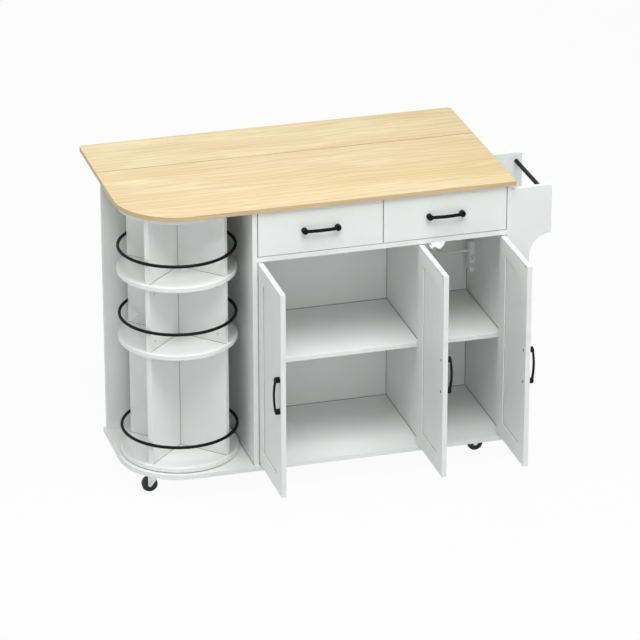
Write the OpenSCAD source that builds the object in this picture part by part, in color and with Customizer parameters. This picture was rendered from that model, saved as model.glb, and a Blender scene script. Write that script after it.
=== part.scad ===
// Drop leaf kitchen island on casters: a cabinet with two drawers over three
// doors, a turning shelf tower at its left end, a hinged leaf along its back,
// a towel rail on its right wall and a socket box inside with its lead.
// Measures are drawn from the cabinet: x from the left wall's inner face,
// y from the cabinet's front plane (the front faces -y), z from the floor.

/* [Boards] */
// Thickness of the carcass boards
board_t = 15; // [12:1:18]
// Thickness of the worktop and its leaf
top_t = 15; // [12:1:22]
// Thickness of the thin back panel
back_t = 5; // [3:1:6]
// Radius on the small visible corners of the worktop
top_corner_r = 4; // [2:1:8]

/* [Cabinet] */
// Overall height from the floor to the worktop's surface
total_h = 914; // [860:2:960]
// Clear width between the left and right walls
cabinet_w = 772; // [700:2:840]
// Depth of the walls, front edge to back edge
cabinet_d = 388; // [380:1:420]
// Worktop and bottom panel overhang in front of the walls
front_overhang = 10; // [4:1:16]
// Worktop overhang past the right wall
side_overhang = 9; // [4:1:16]
// Worktop overhang behind the walls
rear_overhang = 14; // [14:1:20]
// Height of the drawer opening
drawer_opening_h = 143.5; // [120:0.5:160]
// Height of the adjustable shelves' top faces above the floor
shelf_z = 407; // [360:1:460]
// Shelf front edge behind the cabinet's front plane
shelf_setback = 31; // [24:1:60]
// Height of the rail that stiffens the back behind the drawers
rear_rail_h = 80; // [60:1:100]

/* [Open end with the turning tower] */
// Distance of the round shelves inside the rounded front corner
disc_front_in = 11; // [6:1:20]
// Gap between the round shelves and the board behind them
disc_back_gap = 4; // [3:0.5:8]
// Gap between the round shelves and the left wall
disc_side_gap = 6; // [4:1:12]
// Top of the lowest round shelf above the floor
disc_low_z = 97; // [96:0.5:100]
// Top of the middle round shelf above the floor
disc_mid_z = 466; // [400:1:500]
// Top of the upper round shelf above the floor
disc_high_z = 684; // [620:1:720]
// Thickness of the top disc under the worktop
disc_top_t = 12; // [10:1:15]
// Distance of the guard rings' wire inside the shelves' edge, to its centre
ring_in = 4.5; // [3.5:0.5:8]
// Thickness of the guard rings' wire
ring_wire_d = 9.5; // [7:0.5:10]
// Height of each guard ring above its shelf
ring_above_shelf = 67; // [50:1:90]
// Radius of the tower's steel spindles
spindle_r = 5; // [4:0.5:8]

/* [Doors and drawers] */
// Gap between a door and the wall it hangs on
door_side_gap = 2.8; // [2.5:0.1:4]
// Gap between two closed doors or two drawer fronts
front_gap = 3; // [2.6:0.1:4]
// Gap between the bottom panel and the doors
door_foot_gap = 6; // [4:0.5:8]
// Gap between the doors and the deck above them
door_head_gap = 4; // [3:0.5:6]
// Hinge pin's distance from the door's hinged edge
door_pin_in = 4.7; // [4:0.1:5.5]
// Hinge pin's distance behind the door's outer face
door_pin_back = 5; // [4.5:0.1:5.5]
// Radius of the door's hinge pins
door_pin_r = 2; // [1.5:0.5:2.5]
// Width of the frame around each door's sunk panel
door_frame_w = 52; // [40:1:60]
// Depth to which each door's panel is sunk, on both faces
door_sunk = 4; // [2:0.5:5]
// Free space between the drawer boxes and the back panel
drawer_back_room = 28; // [20:1:60]
// Height of the drawer boxes' sides
drawer_side_h = 100; // [80:1:110]
// Thickness of the drawer boxes' sides
drawer_side_t = 12; // [10:1:15]
// Thickness of the drawer bottoms
drawer_floor_t = 4; // [3:1:6]
// Space for a slide between a drawer box and the board beside it
slide_space = 12.5; // [12:0.1:13]
// Height of the drawer slides' outer channels
slide_h = 35; // [30:1:45]

/* [Handles] */
// Distance between a handle's two screws
handle_pitch = 102; // [90:1:128]
// Radius of a handle's round feet
handle_foot_r = 9; // [8:0.5:12]
// Reach of a handle's arched bar from the face
handle_reach = 19.5; // [18:0.5:26]
// Rise of the arch from its ends to its middle
handle_arch = 6.5; // [4:0.5:8]
// Thickness of a handle's bar
handle_bar_t = 5; // [4:0.5:6]
// Width of a handle's bar
handle_bar_w = 9; // [8:1:14]
// Handle's distance from the door's free edge
handle_edge = 17; // [14:1:26]

/* [Drop leaf] */
// Depth of the leaf, from its hinged edge to its back edge
leaf_d = 229.5; // [216:0.5:260]
// Gap between the worktop and the leaf
leaf_gap = 1.5; // [1.2:0.1:2]
// Radius of the leaf's two back corners
leaf_corner_r = 12; // [4:1:30]
// Radius of the butt hinges' knuckles
knuckle_r = 3; // [2.5:0.1:3]
// Radius of the butt hinges' pins
hinge_pin_r = 1.5; // [1:0.1:1.8]
// Width of each butt hinge
hinge_w = 60; // [50:1:80]
// Distance between neighbouring butt hinges
hinge_spacing = 483; // [400:1:500]
// Distance of each folding stay from the leaf's middle
stay_offset = 325; // [300:1:340]
// Drop from the leaf's hinge axis to the strut's lower pivot
strut_drop = 68; // [60:1:74]
// Distance from the hinge axis to the roller with the leaf up
strut_out = 106; // [90:1:112]
// Thickness of the struts
strut_t = 4; // [3:0.5:5]
// Radius of the rollers at the struts' ends
roller_r = 5; // [4:0.5:5]
// Clear width inside the leaf stays' arms
stay_inner_w = 16; // [14:1:22]
// Depth of the leaf stays' arms below the leaf
arm_h = 12; // [11:1:14]
// Sheet thickness of the leaf stays
stay_t = 2; // [1.5:0.5:2.5]

/* [Towel rail and socket box] */
// Reach of the towel brackets from the right wall
towel_reach = 125.5; // [110:0.5:140]
// Top edge of the towel brackets above the floor
towel_top_z = 885; // [860:1:895]
// Length of the brackets' straight outer edge
towel_edge_h = 154; // [120:1:180]
// Radius of the hollow curve below the brackets' outer edge
towel_curve_r = 67.5; // [50:1:80]
// Distance between the two brackets' inner faces
towel_span = 260; // [220:1:300]
// Radius of the towel rod
towel_rod_r = 6.5; // [5:0.5:9]
// Front face of the socket box, in front of the wall's back edge
socket_in = 88; // [60:1:120]
// Height of the socket box
socket_h = 100; // [80:1:120]
// Depth of the socket box along the wall
socket_d = 27; // [24:1:34]
// Thickness of the socket box off the wall
socket_t = 17; // [15:1:24]
// Radius of the lead's hole in the back panel
lead_hole_r = 27.5; // [24:0.5:32]

/* [Casters] */
// Radius of the caster wheels
wheel_r = 24; // [22:1:28]
// Width of the caster wheels
wheel_w = 20; // [16:1:24]
// Height of a caster, floor to underside of the bottom panel
caster_h = 64; // [64:1:80]
// Distance the wheel trails behind its swivel
caster_trail = 18; // [14:1:24]
// Radius of the wheel's axle
axle_r = 3; // [2.5:0.5:4]
// Edge length of the caster's top plate
caster_plate = 42; // [38:1:50]
// Swivels of the left casters, from the open end's left edge
caster_in_left = 87; // [60:1:110]
// Swivels of the right casters, from the right wall's outer face
caster_in_right = 61; // [50:1:90]
// Swivels of the front casters, behind the bottom panel's front edge
caster_in_front = 88; // [70:1:120]
// Swivels of the rear casters, in front of the walls' back edge
caster_in_rear = 73; // [60:1:100]

/* [Hidden] */
$fn = 48;

// finishes
white_paint = [0.93, 0.94, 0.93];
pale_wood = [0.91, 0.82, 0.62];
black_steel = [0.07, 0.07, 0.07];
zinc_steel = [0.72, 0.73, 0.74];
white_plastic = [0.88, 0.89, 0.88];
tyre_black = [0.06, 0.06, 0.07];

// clearances
slack = 0.3;            // between curved faces that only pass each other
running = 0.05;         // radial, a pin in its bore
through = 1;            // how far a cutter runs past the face it cuts

// heights
floor_top = caster_h + board_t;
top_under = total_h - top_t;
deck_top = top_under - drawer_opening_h;
deck_under = deck_top - board_t;

// depths, and the tower's round shelves as large as the depth lets them be
front_y = -front_overhang;
seam_y = cabinet_d + rear_overhang;
leaf_front_y = seam_y + leaf_gap;
leaf_back_y = leaf_front_y + leaf_d;
back_in = 10;
back_outer_y = cabinet_d - back_in;
back_inner_y = back_outer_y - back_t;
groove_d = 5;
end_board_y = back_outer_y - board_t;
disc_r = (end_board_y - front_y - disc_front_in - disc_back_gap) / 2;
corner_r = disc_r + disc_front_in;
ring_r = disc_r - ring_in;
end_board_in = 6;

// widths
end_w = corner_r + disc_r + disc_side_gap;
left_x = -board_t - end_w;
right_x = cabinet_w + board_t;

// the leaf's hinge axis
leaf_axis_y = seam_y + leaf_gap / 2;
leaf_axis_to_under = knuckle_r + 0.5;
leaf_axis_z = top_under - leaf_axis_to_under;

leaf_mid_x = (left_x + right_x + side_overhang) / 2;
hinge_xs = [for (k = [-1:1]) leaf_mid_x + k * hinge_spacing];
hinge_moving_d = 26;
hinge_plate_t = 1.5;
hinge_notch_gap = 0.6;
fixing_hole_r = 2.2;
stay_xs = [leaf_mid_x - stay_offset, leaf_mid_x + stay_offset];

// the folding stays: the roller runs along the arm, the strut turns on the wall rail
track_down = roller_r + 0.5 + stay_t - leaf_axis_to_under;
strut_pin_y = leaf_axis_y - track_down;
strut_pin_z = leaf_axis_z - strut_drop;
roller_y = leaf_axis_y + strut_out;
roller_z = leaf_axis_z - track_down;
strut_len = norm([roller_y - strut_pin_y, roller_z - strut_pin_z]);
strut_angle = atan2(roller_z - strut_pin_z, roller_y - strut_pin_y);
strut_w = 2 * roller_r - 1;
strut_pin_r = 2.5;
roller_pin_r = 2;
ear_t = 2;
arm_start = 10;
arm_end = strut_drop + strut_len + roller_r + stay_t + 3;
arm_hole_in = 14;
rail_d = 9;
rail_below = 60;
rail_above = 62;
rail_hole_in = 12;
rivet_head_t = 1.2;
rivet_head_over = 1.5;
roller_w = 3;

// tower centre and levels
tower_x = left_x + corner_r;
tower_y = front_y + corner_r;
tower_top_z = top_under - 2;
tower_top_foot = tower_top_z - disc_top_t;
shelf_levels = [disc_low_z, disc_mid_z, disc_high_z];
fin_heads = [disc_mid_z - board_t, disc_high_z - board_t, tower_top_foot];
fin_reach = ring_r - ring_wire_d / 2 - 0.2;
stud_r = 1.5;
stud_len = 14;
race_r = 58;
race_t = 1.5;
race_recess = 4.2;
ring_bearing_in = 40;
upper_plate_r = 16;
disc_edge_r = 2;

// shelf pins
pin_shank_r = 2.5;
pin_head_r = 4;
pin_hole_d = 7;
pin_head_d = 7;
shelf_side_gap = 1;
shelf_pin_z = shelf_z - board_t - pin_shank_r;
shelf_pin_ys = [shelf_setback + 30, back_inner_y - 40];

// doors, drawn closed and then turned to stand open
door_w = (cabinet_w - 2 * door_side_gap - 2 * front_gap) / 3;
door_foot = floor_top + door_foot_gap;
door_head = deck_under - door_head_gap;
door_h = door_head - door_foot;
door_left_pin_x = door_side_gap + door_pin_in;
door_middle_pin_x = cabinet_w - door_side_gap - door_w - front_gap - door_pin_in;
door_right_pin_x = cabinet_w - door_side_gap - door_pin_in;
divider_x = door_middle_pin_x + door_pin_in + board_t / 2;
divider_front_y = board_t + 1.5;
door_pin_xs = [door_left_pin_x, door_middle_pin_x, door_right_pin_x];
door_pin_reach = 10;
door_handle_z = (door_foot + door_head) / 2;
pivot_bush_r = door_pin_r + 1;
pivot_bush_d = 8;
door_left_free_x = door_side_gap + door_w;
door_middle_free_x = door_left_free_x + front_gap;
door_right_free_x = door_middle_free_x + door_w + front_gap;
magnet_in = 20;
magnet_w = 8;
magnet_h = 12;
magnet_d = 17.6;
magnet_gap = 0.4;
magnet_left_x = door_left_free_x - magnet_in;
magnet_middle_x = door_middle_free_x + magnet_in;
magnet_right_x = door_right_free_x + magnet_in;
strike_edge = 16;
strike_r = 3;
strike_d = 1;
strike_down = 5;
screw_r = 2;
screw_head_r = 4;
screw_head_h = 2;

// drawers
drawer_mid_x = cabinet_w / 2;
drawer_bay_w = drawer_mid_x - board_t / 2;
drawer_front_w = drawer_mid_x - door_side_gap - front_gap / 2;
drawer_right_x = drawer_mid_x + front_gap / 2;
box_right_x = drawer_mid_x + board_t / 2 + slide_space;
drawer_front_foot = deck_top + 2.5;
drawer_front_head = top_under - 2;
drawer_box_w = drawer_bay_w - 2 * slide_space;
drawer_box_foot = deck_top + 16;
drawer_back_y = back_inner_y - drawer_back_room;
drawer_box_d = drawer_back_y - board_t;
drawer_floor_up = 8;
slide_z = drawer_box_foot + drawer_side_h / 2;
slide_len = drawer_box_d - 4;
slide_sheet = 1.2;
slide_play = 0.4;
slide_lip = 9;
slide_start = board_t + 2;

// towel rail, socket box and the lead's hole
towel_front_y = 2;
towel_rear_y = towel_front_y + board_t + towel_span;
towel_corner_r = 10;
towel_foot_w = towel_reach - towel_curve_r;
towel_neck = 28;
towel_rod_in = 19;
towel_rod_down = 27;
towel_rod_seat = 5;
socket_y = cabinet_d - socket_in;
socket_foot = 497;
outlet_low = 22;
outlet_pitch = 25;
outlet_off = 1;
slot_off = 3.5;
slot_up = 3;
slot_w = 1.6;
slot_h = 7;
earth_down = 5;
earth_r = 2.2;
outlet_depth = 6;
gland_len = 22;
gland_root_r = 5;
lead_exit_y = socket_y + 12;
lead_exit_z = socket_foot + 67;
lead_hole_in = 97.5;
lead_hole_x = cabinet_w - lead_hole_in;
lead_hole_z = 577;

// power lead: stations from the gland through the back, straight down, then over the floor
lead_r = 3.5;
lead_sides = 8;
lead_start = [cabinet_w - socket_t - gland_len, lead_exit_y, lead_exit_z];
lead_fall = [lead_start.x - 61, lead_start.y + 100, 0];
lead_out = [[0, 0, 0], [-8, 0, 0], [-21, 3, -1.5], [-33, 11, -4], [-43, 23, -6.5], [-51, 37, -8.5],
    [-57, 51, -10], [-60, 64, -10.5], [-61, 77, -13], [-61, 88, -20], [-61, 96, -31], [-61, 99, -45]];
lead_over_floor = [[0, 0, 45], [0, 2, 31], [0, 8, 19], [0, 18, 10], [0, 30, 5.5], [0, 40, 5], [0, 48, 5]];
lead_fall_from = lead_start.z - 61;
lead_fall_to = 63;
lead_step = 20;
lead_route = concat([for (p = lead_out) lead_start + p],
    [for (z = [lead_fall_from:-lead_step:lead_fall_to]) lead_fall + [0, 0, z]],
    [for (p = lead_over_floor) lead_fall + p]);
coil_x = lead_fall.x - 48;
coil_y = lead_fall.y + 56;
coil_low_z = 5;
coil_high_z = 12.6;
coil_in_r = 31;
coil_pitch = 8;
coil_turns = 4.25;
coil_steps = 24;
coil_sides = 6;
coil_tail = 38;
tie_turn = 225;
tie_t = 1.2;
tie_w = 10;
plug_relief = 25;
plug_l = 34;
plug_w = 24;
plug_h = 24.8;
plug_corner_r = 4;
blade_l = 17;
blade_t = 1.5;
blade_w = 6.3;
blade_off = 6.35;
blade_up = 4;
earth_pin_r = 2.4;
earth_pin_down = 7;

// casters: the plate's top lies under the bottom panel, the fork trails its wheel
caster_left_x = left_x + caster_in_left;
caster_right_x = right_x - caster_in_right;
caster_front_y = front_y + caster_in_front;
caster_rear_y = cabinet_d - caster_in_rear;
caster_spots = [[caster_left_x, caster_front_y], [caster_right_x, caster_front_y],
    [caster_left_x, caster_rear_y], [caster_right_x, caster_rear_y]];
caster_turn = 175;
plate_t = 2.5;
raceway_r = 15;
raceway_h = 3.7;
kingpin_r = 4;
kingpin_head_r = 6.5;
kingpin_head_t = 2.2;
plate_hole_in = 5;
fork_sheet = 2;
fork_gap = 1.5;
fork_top = caster_h - plate_t - raceway_h - slack;
fork_plate_z = fork_top - 6;
fork_back = -12;
fork_nose_r = 6;
axle_head_t = 1.4;
axle_head_over = 2;
tread_round = 4;
web_sunk = 3;

// the model's own origin: middle of the open island's outline, on the floor
door_reach_y = door_pin_back - (door_w - door_pin_in);
towel_x = right_x + towel_reach;
origin_x = (left_x + towel_x) / 2;
origin_y = (door_reach_y + leaf_back_y) / 2;

module at_home() {
    translate([-origin_x, -origin_y, 0]) children();
}

// board from one corner to the opposite one
module board(low, high) {
    translate(low) cube(high - low);
}

// outline with a big round front-left corner and small others
module top_outline(left, right, front, back, big_r, small_r) {
    difference() {
        translate([left, front]) square([right - left, back - front]);
        corner_waste(left, front, big_r, 0, 128);
        corner_waste(right, front, small_r, 90, 32);
    }
}

// what rounding takes off a square corner at (x, y), turned to face it
module corner_waste(x, y, r, turn, fineness) {
    translate([x, y]) rotate(turn) difference() {
        translate([-through, -through]) square(r + through);
        translate([r, r]) circle(r, $fn = fineness);
    }
}

// ---------------------------------------------------------------- carcass

module worktop() {
    color(pale_wood) at_home() translate([0, 0, top_under]) linear_extrude(top_t)
        top_outline(left_x, right_x + side_overhang, front_y, seam_y, corner_r, top_corner_r);
}

module bottom_panel() {
    color(white_paint) at_home() translate([0, 0, caster_h]) difference() {
        linear_extrude(board_t)
            top_outline(left_x, right_x, front_y, cabinet_d, corner_r, top_corner_r);
        for (x = door_pin_xs)
            translate([x, door_pin_back, board_t - pivot_bush_d])
                cylinder(r = pivot_bush_r + running, h = pivot_bush_d + through);
    }
}

// groove for the thin back panel, cut in a wall's inner face
module back_groove(x) {
    board([x, back_inner_y - 0.2, floor_top - through],
          [x + groove_d + through, back_outer_y + 0.2, top_under + through]);
}

// blind holes for the shelf pins in the face at x
module shelf_pin_holes(x) {
    for (y = shelf_pin_ys)
        translate([x, y, shelf_pin_z])
            rotate([0, 90, 0]) cylinder(r = pin_shank_r + running, h = 2 * pin_hole_d, center = true);
}

module left_wall() {
    color(white_paint) at_home() difference() {
        board([-board_t, 0, floor_top], [0, cabinet_d, top_under]);
        back_groove(-groove_d);
        shelf_pin_holes(0);
    }
}

module right_wall() {
    color(white_paint) at_home() difference() {
        board([cabinet_w, 0, floor_top], [right_x, cabinet_d, top_under]);
        back_groove(cabinet_w - through);
        shelf_pin_holes(cabinet_w);
    }
}

module divider() {
    color(white_paint) at_home() difference() {
        board([divider_x - board_t / 2, divider_front_y, floor_top],
              [divider_x + board_t / 2, back_inner_y, deck_under]);
        shelf_pin_holes(divider_x - board_t / 2);
        shelf_pin_holes(divider_x + board_t / 2);
    }
}

module back_panel() {
    color(white_paint) at_home() difference() {
        board([-groove_d + 0.3, back_inner_y, floor_top],
              [cabinet_w + groove_d - 0.3, back_outer_y, top_under]);
        translate([lead_hole_x, back_inner_y - through, lead_hole_z])
            rotate([-90, 0, 0]) cylinder(r = lead_hole_r, h = back_t + 2 * through);
    }
}

module end_back_board() {
    color(white_paint) at_home()
        board([left_x + end_board_in, end_board_y, floor_top], [-board_t, back_outer_y, top_under]);
}

module drawer_deck() {
    color(white_paint) at_home() difference() {
        board([0, 0, deck_under], [cabinet_w, back_inner_y, deck_top]);
        for (x = door_pin_xs)
            translate([x, door_pin_back, deck_under - through])
                cylinder(r = pivot_bush_r + running, h = pivot_bush_d + through);
    }
}

module drawer_divider() {
    color(white_paint) at_home()
        board([drawer_mid_x - board_t / 2, board_t + 1, deck_top],
              [drawer_mid_x + board_t / 2, back_inner_y - board_t, top_under]);
}

module rear_rail() {
    color(white_paint) at_home()
        board([0, back_inner_y - board_t, top_under - rear_rail_h], [cabinet_w, back_inner_y, top_under]);
}

// ---------------------------------------------------------------- shelves

module shelf_board(left, right) {
    board([left + shelf_side_gap, shelf_setback, shelf_z - board_t],
          [right - shelf_side_gap, back_inner_y - 1, shelf_z]);
}

module shelf_left() {
    color(white_paint) at_home() shelf_board(0, divider_x - board_t / 2);
}

module shelf_right() {
    color(white_paint) at_home() shelf_board(divider_x + board_t / 2, cabinet_w);
}

// pegs in the face at x with a flat-topped head under the shelf
module shelf_pin_pair(x, facing) {
    for (y = shelf_pin_ys)
        translate([x, y, shelf_pin_z]) rotate([0, facing * 90, 0]) {
            translate([0, 0, 0.5 - pin_hole_d]) cylinder(r = pin_shank_r, h = pin_hole_d);
            intersection() {
                cylinder(r = pin_head_r, h = pin_head_d);
                translate([facing * (pin_head_r - pin_shank_r) / 2, 0, pin_head_d / 2])
                    cube([pin_head_r + pin_shank_r, 2 * pin_head_r, pin_head_d], center = true);
            }
        }
}

module shelf_pins() {
    color(zinc_steel) at_home() {
        shelf_pin_pair(0, 1);
        shelf_pin_pair(divider_x - board_t / 2, -1);
        shelf_pin_pair(divider_x + board_t / 2, 1);
        shelf_pin_pair(cabinet_w, -1);
    }
}

// ---------------------------------------------------------------- leaf and hinges

module drop_leaf() {
    color(pale_wood) at_home() translate([0, 0, top_under]) linear_extrude(top_t) difference() {
        translate([left_x, leaf_front_y]) square([right_x + side_overhang - left_x, leaf_d]);
        corner_waste(left_x, leaf_back_y, leaf_corner_r, -90, 32);
        corner_waste(right_x + side_overhang, leaf_back_y, leaf_corner_r, 180, 32);
    }
}

// three knuckles in a row: the fixed leaf holds the outer two, the moving one the middle
module knuckle(x, len) {
    translate([x, leaf_axis_y, leaf_axis_z]) rotate([0, 90, 0]) difference() {
        cylinder(r = knuckle_r, h = len);
        translate([0, 0, -through]) cylinder(r = hinge_pin_r + running, h = len + 2 * through);
    }
}

// a hinge plate under the board, cut back beside the other plate's knuckles
module hinge_plate(x, y_from, y_to, notches) {
    bottom = top_under - hinge_plate_t;
    difference() {
        board([x - hinge_w / 2, y_from, bottom], [x + hinge_w / 2, y_to, top_under]);
        for (n = notches)
            board([x + n[0], leaf_axis_y - knuckle_r - hinge_notch_gap, bottom - through],
                  [x + n[1], leaf_axis_y + knuckle_r + hinge_notch_gap, top_under + through]);
        translate([x, leaf_axis_y, leaf_axis_z]) rotate([0, 90, 0])
            cylinder(r = hinge_pin_r + running, h = hinge_w + 2 * through, center = true);
    }
}

module leaf_hinges_fixed() {
    third = hinge_w / 3;
    color(zinc_steel) at_home() for (x = hinge_xs) {
        union() {
            hinge_plate(x, back_outer_y + 2, leaf_axis_y, [[-third / 2 - slack, third / 2 + slack]]);
            knuckle(x - hinge_w / 2, third);
            knuckle(x + third / 2, third);
        }
        translate([x - hinge_w / 2 - 1, leaf_axis_y, leaf_axis_z]) rotate([0, 90, 0])
            cylinder(r = hinge_pin_r, h = hinge_w + 2);
    }
}

module leaf_hinges_moving() {
    third = hinge_w / 3;
    color(zinc_steel) at_home() for (x = hinge_xs) {
        hinge_plate(x, leaf_axis_y, leaf_axis_y + hinge_moving_d,
            [[-hinge_w / 2 - through, slack - third / 2], [third / 2 - slack, hinge_w / 2 + through]]);
        knuckle(x + slack - third / 2, third - 2 * slack);
    }
}

// ---------------------------------------------------------------- folding stays

// sheet channel on the back, with two ears that carry the strut's pivot
module stay_rail(x) {
    outer = stay_inner_w / 2 + stay_t;
    foot = strut_pin_z - rail_below;
    head = strut_pin_z + rail_above;
    difference() {
        board([x - outer, back_outer_y, foot], [x + outer, back_outer_y + rail_d, head]);
        board([x - stay_inner_w / 2, back_outer_y + stay_t, foot - through],
              [x + stay_inner_w / 2, back_outer_y + rail_d + through, head + through]);
        for (z = [foot + rail_hole_in, head - rail_hole_in])
            translate([x, back_outer_y - through, z]) rotate([-90, 0, 0])
                cylinder(r = fixing_hole_r, h = stay_t + 2 * through);
    }
    for (side = [-1, 1])
        translate([x + side * (strut_t / 2 + slack) + (side < 0 ? -ear_t : 0), 0, 0]) difference() {
            union() {
                board([0, back_outer_y + stay_t, strut_pin_z - strut_w / 2],
                      [ear_t, strut_pin_y, strut_pin_z + strut_w / 2]);
                translate([0, strut_pin_y, strut_pin_z]) rotate([0, 90, 0])
                    cylinder(r = strut_w / 2, h = ear_t);
            }
            translate([-through, strut_pin_y, strut_pin_z]) rotate([0, 90, 0])
                cylinder(r = strut_pin_r + running, h = ear_t + 2 * through);
        }
}

// rivet through both ears, with a head outside each
module ear_rivet(x) {
    half = strut_t / 2 + slack + ear_t;
    translate([x, strut_pin_y, strut_pin_z]) rotate([0, 90, 0]) {
        cylinder(r = strut_pin_r, h = 2 * half, center = true);
        for (side = [-1, 1])
            translate([0, 0, side * (half + rivet_head_t / 2)])
                cylinder(r = strut_pin_r + rivet_head_over, h = rivet_head_t, center = true);
    }
}

module stay_rails() {
    color(zinc_steel) at_home() for (x = stay_xs) {
        stay_rail(x);
        ear_rivet(x);
    }
}

// channel under the leaf, open downwards, closed at its outer end
module stay_arms() {
    outer = stay_inner_w / 2 + stay_t;
    color(zinc_steel) at_home() for (x = stay_xs) difference() {
        board([x - outer, leaf_axis_y + arm_start, top_under - arm_h],
              [x + outer, leaf_axis_y + arm_end, top_under]);
        board([x - stay_inner_w / 2, leaf_axis_y + arm_start - through, top_under - arm_h - through],
              [x + stay_inner_w / 2, leaf_axis_y + arm_end - stay_t, top_under - stay_t]);
        for (y = [arm_start + arm_hole_in, arm_end - arm_hole_in])
            translate([x, leaf_axis_y + y, top_under - stay_t - through])
                cylinder(r = fixing_hole_r, h = stay_t + 2 * through);
    }
}

// flat link from the rail's pivot to its pair of rollers
module strut(x) {
    translate([x, strut_pin_y, strut_pin_z]) rotate([strut_angle, 0, 0]) {
        difference() {
            union() {
                translate([-strut_t / 2, 0, -strut_w / 2]) cube([strut_t, strut_len, strut_w]);
                for (y = [0, strut_len])
                    translate([0, y, 0]) rotate([0, 90, 0])
                        cylinder(r = strut_w / 2, h = strut_t, center = true);
            }
            rotate([0, 90, 0]) cylinder(r = strut_pin_r + running, h = strut_t + 2 * through, center = true);
            translate([0, strut_len, 0]) rotate([0, 90, 0])
                cylinder(r = roller_pin_r + running, h = strut_t + 2 * through, center = true);
        }
        translate([0, strut_len, 0]) rotate([0, 90, 0]) {
            cylinder(r = roller_pin_r, h = stay_inner_w - 3, center = true);
            for (side = [-1, 1]) {
                translate([0, 0, side * (stay_inner_w / 2 - 2)])
                    cylinder(r = roller_pin_r + 1, h = 1, center = true);
                translate([0, 0, side * (strut_t / 2 + slack + roller_w / 2)]) difference() {
                    cylinder(r = roller_r, h = roller_w, center = true);
                    cylinder(r = roller_pin_r + running, h = roller_w + 2 * through, center = true);
                }
            }
        }
    }
}

module strut_left() {
    color(zinc_steel) at_home() strut(stay_xs[0]);
}

module strut_right() {
    color(zinc_steel) at_home() strut(stay_xs[1]);
}

// ---------------------------------------------------------------- towel rail

module towel_bracket_outline() {
    edge_foot = towel_top_z - towel_edge_h;
    neck_x = right_x + towel_foot_w;
    neck_z = edge_foot - towel_curve_r;
    foot_z = neck_z - towel_neck - towel_foot_w;
    difference() {
        translate([right_x, foot_z]) square([towel_reach, towel_top_z - foot_z]);
        corner_waste(towel_x, towel_top_z, towel_corner_r, 180, 32);
        // hollow curve below the outer edge, then the neck down to the rounded foot
        translate([neck_x + towel_curve_r, neck_z]) circle(towel_curve_r, $fn = 96);
        translate([neck_x, foot_z - through]) square([towel_reach, neck_z - foot_z + through]);
        corner_waste(neck_x, foot_z, towel_foot_w - 1, 90, 96);
    }
}

module towel_brackets() {
    color(white_paint) at_home() difference() {
        for (y = [towel_front_y, towel_rear_y])
            translate([0, y + board_t, 0]) rotate([90, 0, 0])
                linear_extrude(board_t) towel_bracket_outline();
        towel_rod_solid(running);
    }
}

module towel_rod_solid(extra) {
    start_y = towel_front_y + board_t - towel_rod_seat;
    translate([towel_x - towel_rod_in, start_y, towel_top_z - towel_rod_down]) rotate([-90, 0, 0])
        cylinder(r = towel_rod_r + extra, h = towel_span + 2 * towel_rod_seat);
}

module towel_rod() {
    color(black_steel) at_home() towel_rod_solid(0);
}

// ---------------------------------------------------------------- socket box and lead

module socket_box() {
    bevel = 6;
    outlet_x = cabinet_w - socket_t / 2 + outlet_off;
    color(white_plastic) at_home() difference() {
        translate([0, 0, socket_foot]) linear_extrude(socket_h) polygon([
            [cabinet_w, socket_y], [cabinet_w, socket_y + socket_d],
            [cabinet_w - socket_t, socket_y + socket_d], [cabinet_w - socket_t, socket_y + bevel],
            [cabinet_w - socket_t + bevel / 2, socket_y]]);
        // two outlets in the front face: a pair of slots over an earth hole
        for (z = [0, 1] * outlet_pitch + [1, 1] * (socket_foot + outlet_low)) {
            for (side = [-1, 1])
                translate([outlet_x + side * slot_off, socket_y, z + slot_up])
                    cube([slot_w, 2 * outlet_depth, slot_h], center = true);
            translate([outlet_x, socket_y, z - earth_down]) rotate([-90, 0, 0])
                cylinder(r = earth_r, h = 2 * outlet_depth, center = true);
        }
    }
}

// tapered strain relief, ribbed like a moulded one
module lead_gland() {
    color(white_plastic) at_home() translate([cabinet_w - socket_t, lead_exit_y, lead_exit_z])
        rotate([0, -90, 0]) relief(gland_root_r, gland_len);
}

// tapered sleeve with three grooves, root at the origin, narrow end up
module relief(root_r, len) {
    tip_r = lead_r + 0.6;
    difference() {
        cylinder(r1 = root_r, r2 = tip_r, h = len);
        for (i = [1:3])
            translate([0, 0, i * len / 4]) difference() {
                cylinder(r = root_r + through, h = 1.6, center = true);
                cylinder(r = lead_r + 0.3, h = 1.6 + through, center = true);
            }
    }
}

// ring points of a round tube swept along a path, its frame carried from ring to ring
function unit(v) = v / norm(v);
function heading(path, i) = unit(path[min(i + 1, len(path) - 1)] - path[max(i - 1, 0)]);
function across(v, t) = unit(v - (v * t) * t);
function sides_from(path, i, side, made) =
    i == len(path) ? made
    : let (next = across(side, heading(path, i))) sides_from(path, i + 1, next, concat(made, [next]));

module tube(path, r, n) {
    side = sides_from(path, 0, [0.1, 0.2, 1], []);
    points = [for (i = [0:len(path) - 1], k = [0:n - 1])
        let (turn = 360 * k / n)
            path[i] + r * (cos(turn) * side[i] + sin(turn) * cross(heading(path, i), side[i]))];
    walls = [for (i = [0:len(path) - 2], k = [0:n - 1])
        let (a = i * n + k, b = i * n + (k + 1) % n)
            each [[a, a + n, b + n], [a, b + n, b]]];
    first = [for (k = [0:n - 1]) k];
    last = [for (k = [n - 1:-1:0]) (len(path) - 1) * n + k];
    polyhedron(points, concat([first], walls, [last]));
}

module power_lead() {
    color(white_plastic) at_home() tube(lead_route, lead_r, lead_sides);
}

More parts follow.
